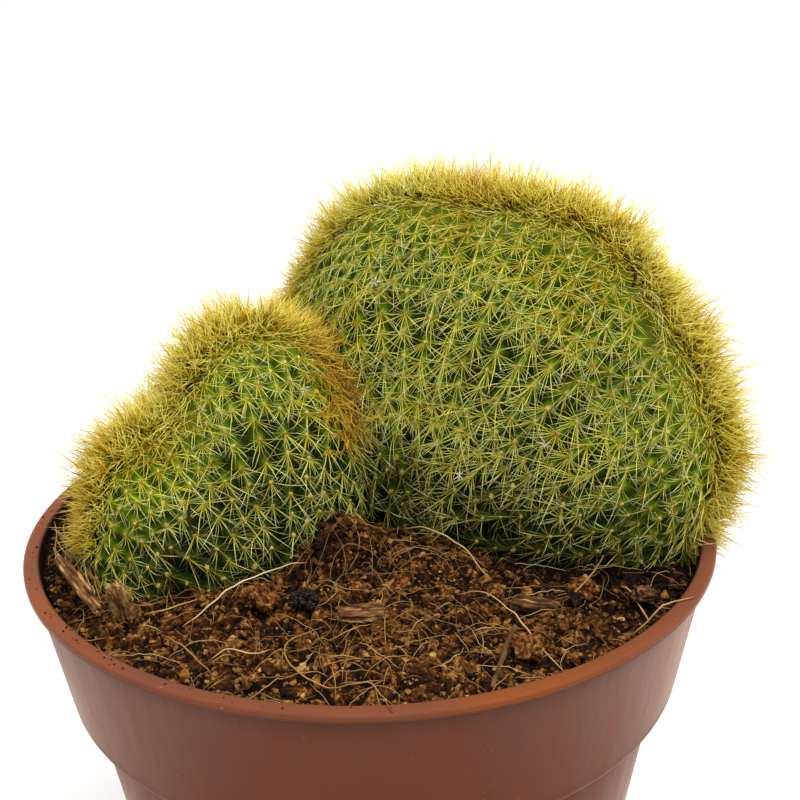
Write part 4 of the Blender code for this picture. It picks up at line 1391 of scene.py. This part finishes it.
def litter_route(rng, centre, spread, counts, curve):
    """A fine hair that curves over the mix, dipping into it here and there."""
    while True:
        x, y = rng.gauss(centre[0], spread), rng.gauss(centre[1], spread)
        if open_mix(x, y, 0.6):
            break
    heading, bend = rng.uniform(0, 2 * math.pi), rng.gauss(0, curve)
    rise = rng.uniform(0.2, 1.4)
    count = rng.randint(*counts)
    route = []
    for i in range(count):
        if not open_mix(x, y, 0.4):
            break
        lie = rise * math.sin(math.pi * i / (count - 1)) + 0.5 * noise.noise(Vector((x, y, heading)) / 1.6)
        route.append(Vector((x, y, mix_height(x, y) + heaped(x, y)[0] + HAIR_LIE + lie)))
        heading += bend + rng.gauss(0, curve)
        x, y = x + HAIR_STEP * math.cos(heading), y + HAIR_STEP * math.sin(heading)
    return route if len(route) > 3 else litter_route(rng, centre, spread, counts, curve)


# Coconut husk fibre, dry and slightly glossy: straw to tan, darker where it goes into the mix.
coir_fibre = shade_map_material(
    "coir_fibre", {"Roughness": 0.5, "Specular IOR Level": 0.4},
    ((0.0, "#7A5426"), (0.3, "#A07838"), (0.6, "#BD9858"), (0.85, "#D4B67E"), (1.0, "#E6D2A4")),
    ((0.0, "#A08058"), (0.12, "#E8DCC8"), (0.5, "#FFFFFF"), (0.9, "#E8DCC8"), (1.0, "#A08058")),
)
rng = random.Random(8)
for number, (route, tint) in enumerate(zip(FIBRE_ROUTES, FIBRE_TINTS), 1):
    places = laid(route, FIBRE_LIE, FIBRE_RADIUS)
    fibre = strands(f"husk_fibre_{number}", [places], [tint], FIBRE_RADIUS, 6, 0.35)
    finished(fibre, coir_fibre, "fibre", f"coir_fibre_{number}")
for name, count, centre, spread, counts, curve, radius, least, most in LITTERS:
    routes = [litter_route(rng, centre, spread, counts, curve) for _ in range(count)]
    tints = [least + (most - least) * rng.random() ** 1.6 for _ in routes]
    finished(strands(name, routes, tints, radius, 3, 0.5), coir_fibre, "fibre")
routes = []
for _ in range(SHREDS):
    start = rng.uniform(0, 0.6)
    end = start + rng.uniform(0.2, 0.5)
    runs = [min(1.05, start + (end - start) * i / SHRED_STEPS) for i in range(SHRED_STEPS + 1)]
    along = [SHRED_LINE[0].lerp(SHRED_LINE[1], run) for run in runs]
    beside = Vector((rng.gauss(0, SHRED_SPREAD), rng.gauss(0, SHRED_SPREAD), rng.uniform(0.5, 1.7)))
    route = [Vector((*place, mix_height(*place) + heaped(*place)[0])) + beside for place in along]
    routes.append([place + noise.noise_vector((place + beside * 9) / 4) * 1.2 for place in route])
shreds = strands("husk_shreds", routes, [rng.uniform(0.05, 0.7) for _ in routes], 0.12, 4, 0.4)
finished(shreds, coir_fibre, "fibre")


# ---------------------------------------------------------------------------------------------------------
# Scraps in the spines. Bits that the spines have caught or shed: a broken dark twig, loose pale hairs, dried
# flower remains and tangled old bristles down the valley between the fans. All dry, thin and weightless.

LONG_SCRAPS = (  # x and height above the rim of each point on the front of the stem, mm, then radius and tint
    ([(45.0, 49.4), (46.3, 48.1), (46.9, 46.2), (46.3, 44.8)], 0.32, 0.04),
    ([(46.0, 45.0), (48.5, 45.3)], 0.14, 0.06),
    ([(36.6, 45.1), (39.0, 43.9), (40.2, 42.1), (39.3, 39.4), (38.2, 36.9)], 0.08, 0.82),
    ([(47.6, 44.6), (49.6, 43.6), (51.0, 41.0), (51.3, 37.6), (50.2, 34.9)], 0.1, 0.74),
    ([(-31.6, 11.0), (-31.4, 8.6), (-30.6, 6.6)], 0.3, 0.05),
    ([(33.2, 20.5), (30.6, 20.0)], 0.12, 0.45),
)
STARS = (  # x, height above the rim, ray length and tint of each dried star of hairs
    (34.9, 10.2, 1.3, 0.38), (32.0, 19.2, 2.2, 0.93), (17.2, 12.5, 1.2, 0.98), (2.7, 43.7, 1.6, 0.95),
    (58.9, 20.1, 1.2, 0.3), (-12.5, 27.0, 1.5, 0.95), (-23.4, 27.5, 1.3, 0.25),
)
STAR_RAYS = 9
SCRAP_LIFT = 2.4  # mm off the skin, up among the spine tips
VALLEY = ((-12.0, 37.0), (-10.5, 33.5), (-9.0, 29.0), (-7.0, 24.0), (-4.5, 18.0))  # x, height above the rim
VALLEY_HAIRS = 180
VALLEY_SPREAD = (1.3, 1.0)
VALLEY_LIFT = (1.5, 5.0)


def on_front(x, height, lift):
    """The place in front of the stem's skin at this x and height above the rim, and the skin's normal."""
    hit, normal = skin_tree.ray_cast(Vector((x, -100, RIM_Z + height)), Vector((0, 1, 0)))[:2]
    return hit + normal * lift, normal


def star_rays(x, height, length, rng):
    """Short hairs that spread from one spot."""
    centre, normal = on_front(x, height, SCRAP_LIFT)
    rays = []
    for _ in range(STAR_RAYS):
        aim = Vector(rng.gauss(0, 1) for _ in range(3)).normalized() + normal * 0.3
        reach = length * rng.uniform(0.6, 1.2)
        curl = noise.noise_vector(aim + centre) * 0.1
        rays.append([centre + aim * reach * (i / 3) + curl * i for i in range(4)])
    return rays


def valley_hair(rng):
    """An old bristle, come loose and tangled with its neighbours."""
    x, height = smooth_valley[rng.randrange(len(smooth_valley))][:2]
    x, height = (middle + rng.gauss(0, spread) for middle, spread in zip((x, height), VALLEY_SPREAD))
    place, normal = on_front(x, height, rng.uniform(*VALLEY_LIFT))
    aim = (Vector((rng.gauss(0.1, 0.5), -0.2, -0.8)) + normal * rng.uniform(-0.1, 0.5)).normalized()
    route = [place]
    for _ in range(rng.randint(4, 8)):
        aim = (aim + Vector(rng.gauss(0, 0.3) for _ in range(3))).normalized()
        route.append(route[-1] + aim)
    return route


# Dry plant scraps, dull: near black twig, rusty dried petal and bleached hairs.
plant_scraps = shade_map_material(
    "dry_plant_scraps", {"Roughness": 0.8, "Specular IOR Level": 0.2},
    ((0.0, "#1A110A"), (0.3, "#5A2A14"), (0.5, "#8A4A28"), (0.75, "#CDBE96"), (1.0, "#F2EADF")),
    ((0.0, "#E0D8D0"), (0.5, "#FFFFFF"), (1.0, "#D8CCC0")),
)
rng = random.Random(19)
for number, (route, radius, tint) in enumerate(LONG_SCRAPS, 1):
    places = smooth_route([on_front(x, height, SCRAP_LIFT)[0] for x, height in route], 0.6)
    places = [place + noise.noise_vector(place / 1.5) * 0.25 for place in places]
    finished(strands(f"caught_scrap_{number}", [places], [tint], radius, 5, 0.6), plant_scraps, "bristles")
rays, tints = [], []
for x, height, length, tint in STARS:
    rays += star_rays(x, height, length, rng)
    tints += [tint] * STAR_RAYS
finished(strands("dried_stars", rays, tints, 0.08, 4, 0.4), plant_scraps, "bristles")
smooth_valley = smooth_route([Vector((x, height, 0)) for x, height in VALLEY], 1.0)
hairs = [valley_hair(rng) for _ in range(VALLEY_HAIRS)]
tangle = strands("valley_tangle", hairs, [rng.uniform(0.84, 1.0) for _ in hairs], 0.1, 3, 0.4)
finished(tangle, golden_spines, "bristles")


# ---------------------------------------------------------------------------------------------------------
# Bark. Chips and a long sliver of composted bark and one weathered stick, that came with the mix and lie
# where they fell. Dry and fibrous, split along the grain, brown where broken and grey where weathered.

# The upright chip's extra paleness is painted light: it stands on edge, its face turned from the overhead
# light.
BARK_CHIPS = {  # how rough, how pale and how narrow at its ends each chip is
    "bark_chip_upright": (0.8, 0.15, 0.45), "bark_sliver_left": (0.55, 0.02, 0.6),
    "bark_chip_middle": (1.0, 0.0, 0.5), "bark_chip_flat": (1.0, -0.02, 0.5),
    "bark_chip_right": (1.0, -0.04, 0.4),
}
FINER = 4  # cuts across each edge of a solid
BARK_BUMPS = (  # size along and across the grain and height, mm: split ridges, fibres, crumbling
    ((5.0, 0.8, 0.8), 0.55), ((1.6, 0.35, 0.35), 0.3), ((0.5, 0.5, 0.5), 0.22),
)
TWIG_ROUTE = [(24, -39, 0.4), (22, -44, 0), (19, -54, 0)]
TWIG_RADIUS = 0.45
TWIG_LIE = 1.2
TWIG_WEAR = (0.7, 0.28)  # size and height of the twig's knots and scars, mm


def roughened(name, source, taper, bumps):
    """A finer copy of a solid, narrower at its ends, split and crumbled. Each bump is a noise's size along
    and across the grain and its height, in mm. An attribute keeps each point's place in the grain's axes."""
    solid = bpy.data.objects[source]
    shape = bmesh.new()
    shape.from_mesh(solid.data)
    shape.transform(Matrix.Scale(1 / MM, 4) @ solid.matrix_world)
    bmesh.ops.remove_doubles(shape, verts=shape.verts, dist=0.005)
    bmesh.ops.subdivide_edges(shape, edges=shape.edges, cuts=FINER, use_grid_fill=True)
    bmesh.ops.smooth_vert(
        shape, verts=shape.verts, factor=0.5, use_axis_x=True, use_axis_y=True, use_axis_z=True,
    )
    places = np.array([vertex.co for vertex in shape.verts])
    middle = places.mean(axis=0)
    axes = np.linalg.svd(places - middle, full_matrices=False)[2]
    laid_out = (places - middle) @ axes.T
    ends = np.abs(laid_out[:, 0]) / np.abs(laid_out[:, 0]).max()
    laid_out[:, 1] *= 1 - taper * ends**2
    for vertex, place in zip(shape.verts, laid_out @ axes + middle):
        vertex.co = place
    shape.normal_update()
    for vertex, local in zip(shape.verts, laid_out):
        push = 0.0
        for size, height in bumps:
            push += height * noise.noise(Vector(c / s for c, s in zip(local, size)))
        vertex.co += vertex.normal * push
    obj = meshed(name, shape)
    note_on_points(obj, "grain", [Vector(c * MM for c in local) for local in laid_out])
    return obj


def composted_bark():
    """Composted bark, matt: umber with rusty fresh breaks, tan fibres and a grey weathered face."""
    made, tree, shader = new_material("composted_bark", {"Roughness": 0.88, "Specular IOR Level": 0.2})
    place = add_node(tree, "ShaderNodeAttribute", attribute_name="grain").outputs["Vector"]
    # Each chip's tone shifts its colours; the upright chip's is painted light.
    tone = add_node(tree, "ShaderNodeAttribute", attribute_name="tone").outputs["Fac"]
    along = add_node(tree, "ShaderNodeMapping", {"Vector": place, "Scale": (0.16, 1, 1)})
    colour = blotches(
        tree, along, 0.6, 5,
        ((0.3, "#1A0F07"), (0.45, "#4A2E16"), (0.58, "#7A522A"), (0.72, "#B89458")), tone,
    )
    add_node(tree, shader, {"Base Color": colour, "Normal": fine_grain(tree, place, 0.3, 4, 0.7, 0.2)})
    return made


# A dry stick's weathered bark, dull grey-brown with paler ends.
twig_bark = shade_map_material(
    "weathered_twig", {"Roughness": 0.8, "Specular IOR Level": 0.25},
    ((0.0, "#4A3420"), (1.0, "#86663C")),
    ((0.0, "#FFFFFF"), (0.1, "#A89880"), (0.5, "#D8CCB8"), (0.85, "#9A8A74"), (1.0, "#FFFFFF")),
)
bark = composted_bark()
for name, (rough, pale, taper) in BARK_CHIPS.items():
    bumps = [(size, height * rough) for size, height in BARK_BUMPS]
    chip = roughened(name.replace("bark", "split_bark"), name, taper, bumps)
    note_on_points(chip, "tone", [pale] * len(chip.data.vertices))
    finished(chip, bark, "bark", name)
twig = strands("dry_stick", [laid(TWIG_ROUTE, TWIG_LIE, TWIG_RADIUS)], [0.6], TWIG_RADIUS, 10, 0.7)
for vertex in twig.data.vertices:
    vertex.co += vertex.normal * (TWIG_WEAR[1] * MM * noise.noise(vertex.co / (TWIG_WEAR[0] * MM)))
finished(twig, twig_bark, "bark", "twig_front")


# ---------------------------------------------------------------------------------------------------------
# Coir lumps and charcoal. Clods of coir pith that never broke up, soft, rough and rusty, and one lump of
# horticultural charcoal, hard, porous and black.

COIR_LUMPS = ("coir_lump_orange", "coir_lump_heap", "coir_lump_front", "coir_lump_under")
CLOD_BUMPS = (((2.4, 2.4, 2.4), 1.5), ((1.0, 1.0, 1.0), 0.9), ((0.45, 0.45, 0.45), 0.4))

# Pressed coir pith, matt: rust and tan crumbs with dark pores.
pressed_coir = blotched_material(
    "pressed_coir", {"Roughness": 0.95, "Specular IOR Level": 0.1}, (0.8, 4),
    ((0.32, "#1C0E05"), (0.46, "#553012"), (0.58, "#7E5024"), (0.74, "#B0844A")),
    grain=(0.25, 4, 0.9, 0.25),
)
# Charcoal: black, with a dull sheen on its broken faces and grey ash dust in a few pores.
porous_charcoal = blotched_material(
    "charcoal", {"Roughness": 0.6, "Specular IOR Level": 0.15}, (0.4, 3),
    ((0.45, "#120B05"), (0.6, "#281C10"), (0.75, "#766040")),
    grain=(0.4, 3, 1.0, 0.4),
)
for name in COIR_LUMPS:
    clod = roughened(name.replace("lump", "clod"), name, 0, CLOD_BUMPS)
    clod.data.shade_flat()
    finished(clod, pressed_coir, "coir", name)
charcoal = roughened("horticultural_charcoal", "charcoal_lump", 0, CLOD_BUMPS)
charcoal.data.shade_flat()
finished(charcoal, porous_charcoal, "charcoal", "charcoal_lump")


# ---------------------------------------------------------------------------------------------------------
# Floor and light: a pale matt sweep under a large overhead softbox and a bright white surround, which sends
# less light from the front.

FLOOR_REACH = 40000
floor_corners = [(x * FLOOR_REACH, y * FLOOR_REACH, 0) for x, y in ((-1, -1), (1, -1), (1, 1), (-1, 1))]
floor = new_object("floor", floor_corners, [(0, 1, 2, 3)])
paper = new_material("pale_paper", {"Roughness": 0.9, "Base Color": linear("#DEDEDD")})[0]
floor.data.materials.append(paper)

softbox = bpy.data.lights.new("overhead_softbox", "SUN")
softbox.energy = 3.0
softbox.angle = math.radians(60)
placed_object("overhead_softbox", softbox).rotation_euler = (math.radians(14), math.radians(14), 0)

surround = bpy.data.worlds.new("white_surround")
surround.use_nodes = True
sky = surround.node_tree
direction = add_node(sky, "ShaderNodeTexCoord").outputs["Generated"]
axes = add_node(sky, "ShaderNodeSeparateXYZ", [direction]).outputs
open_front = add_node(sky, "ShaderNodeMapRange", {
    "Value": axes["Y"], "From Min": -0.9, "From Max": -0.1, "To Min": 0.25, "To Max": 1.0,
})
seen = add_node(sky, "ShaderNodeLightPath").outputs["Is Camera Ray"]
strength = add_node(sky, "ShaderNodeMath", (open_front, seen), operation="MAXIMUM")
add_node(sky, sky.nodes["Background"], {"Strength": strength, "Color": (1, 1, 1, 1)})
bpy.context.scene.world = surround
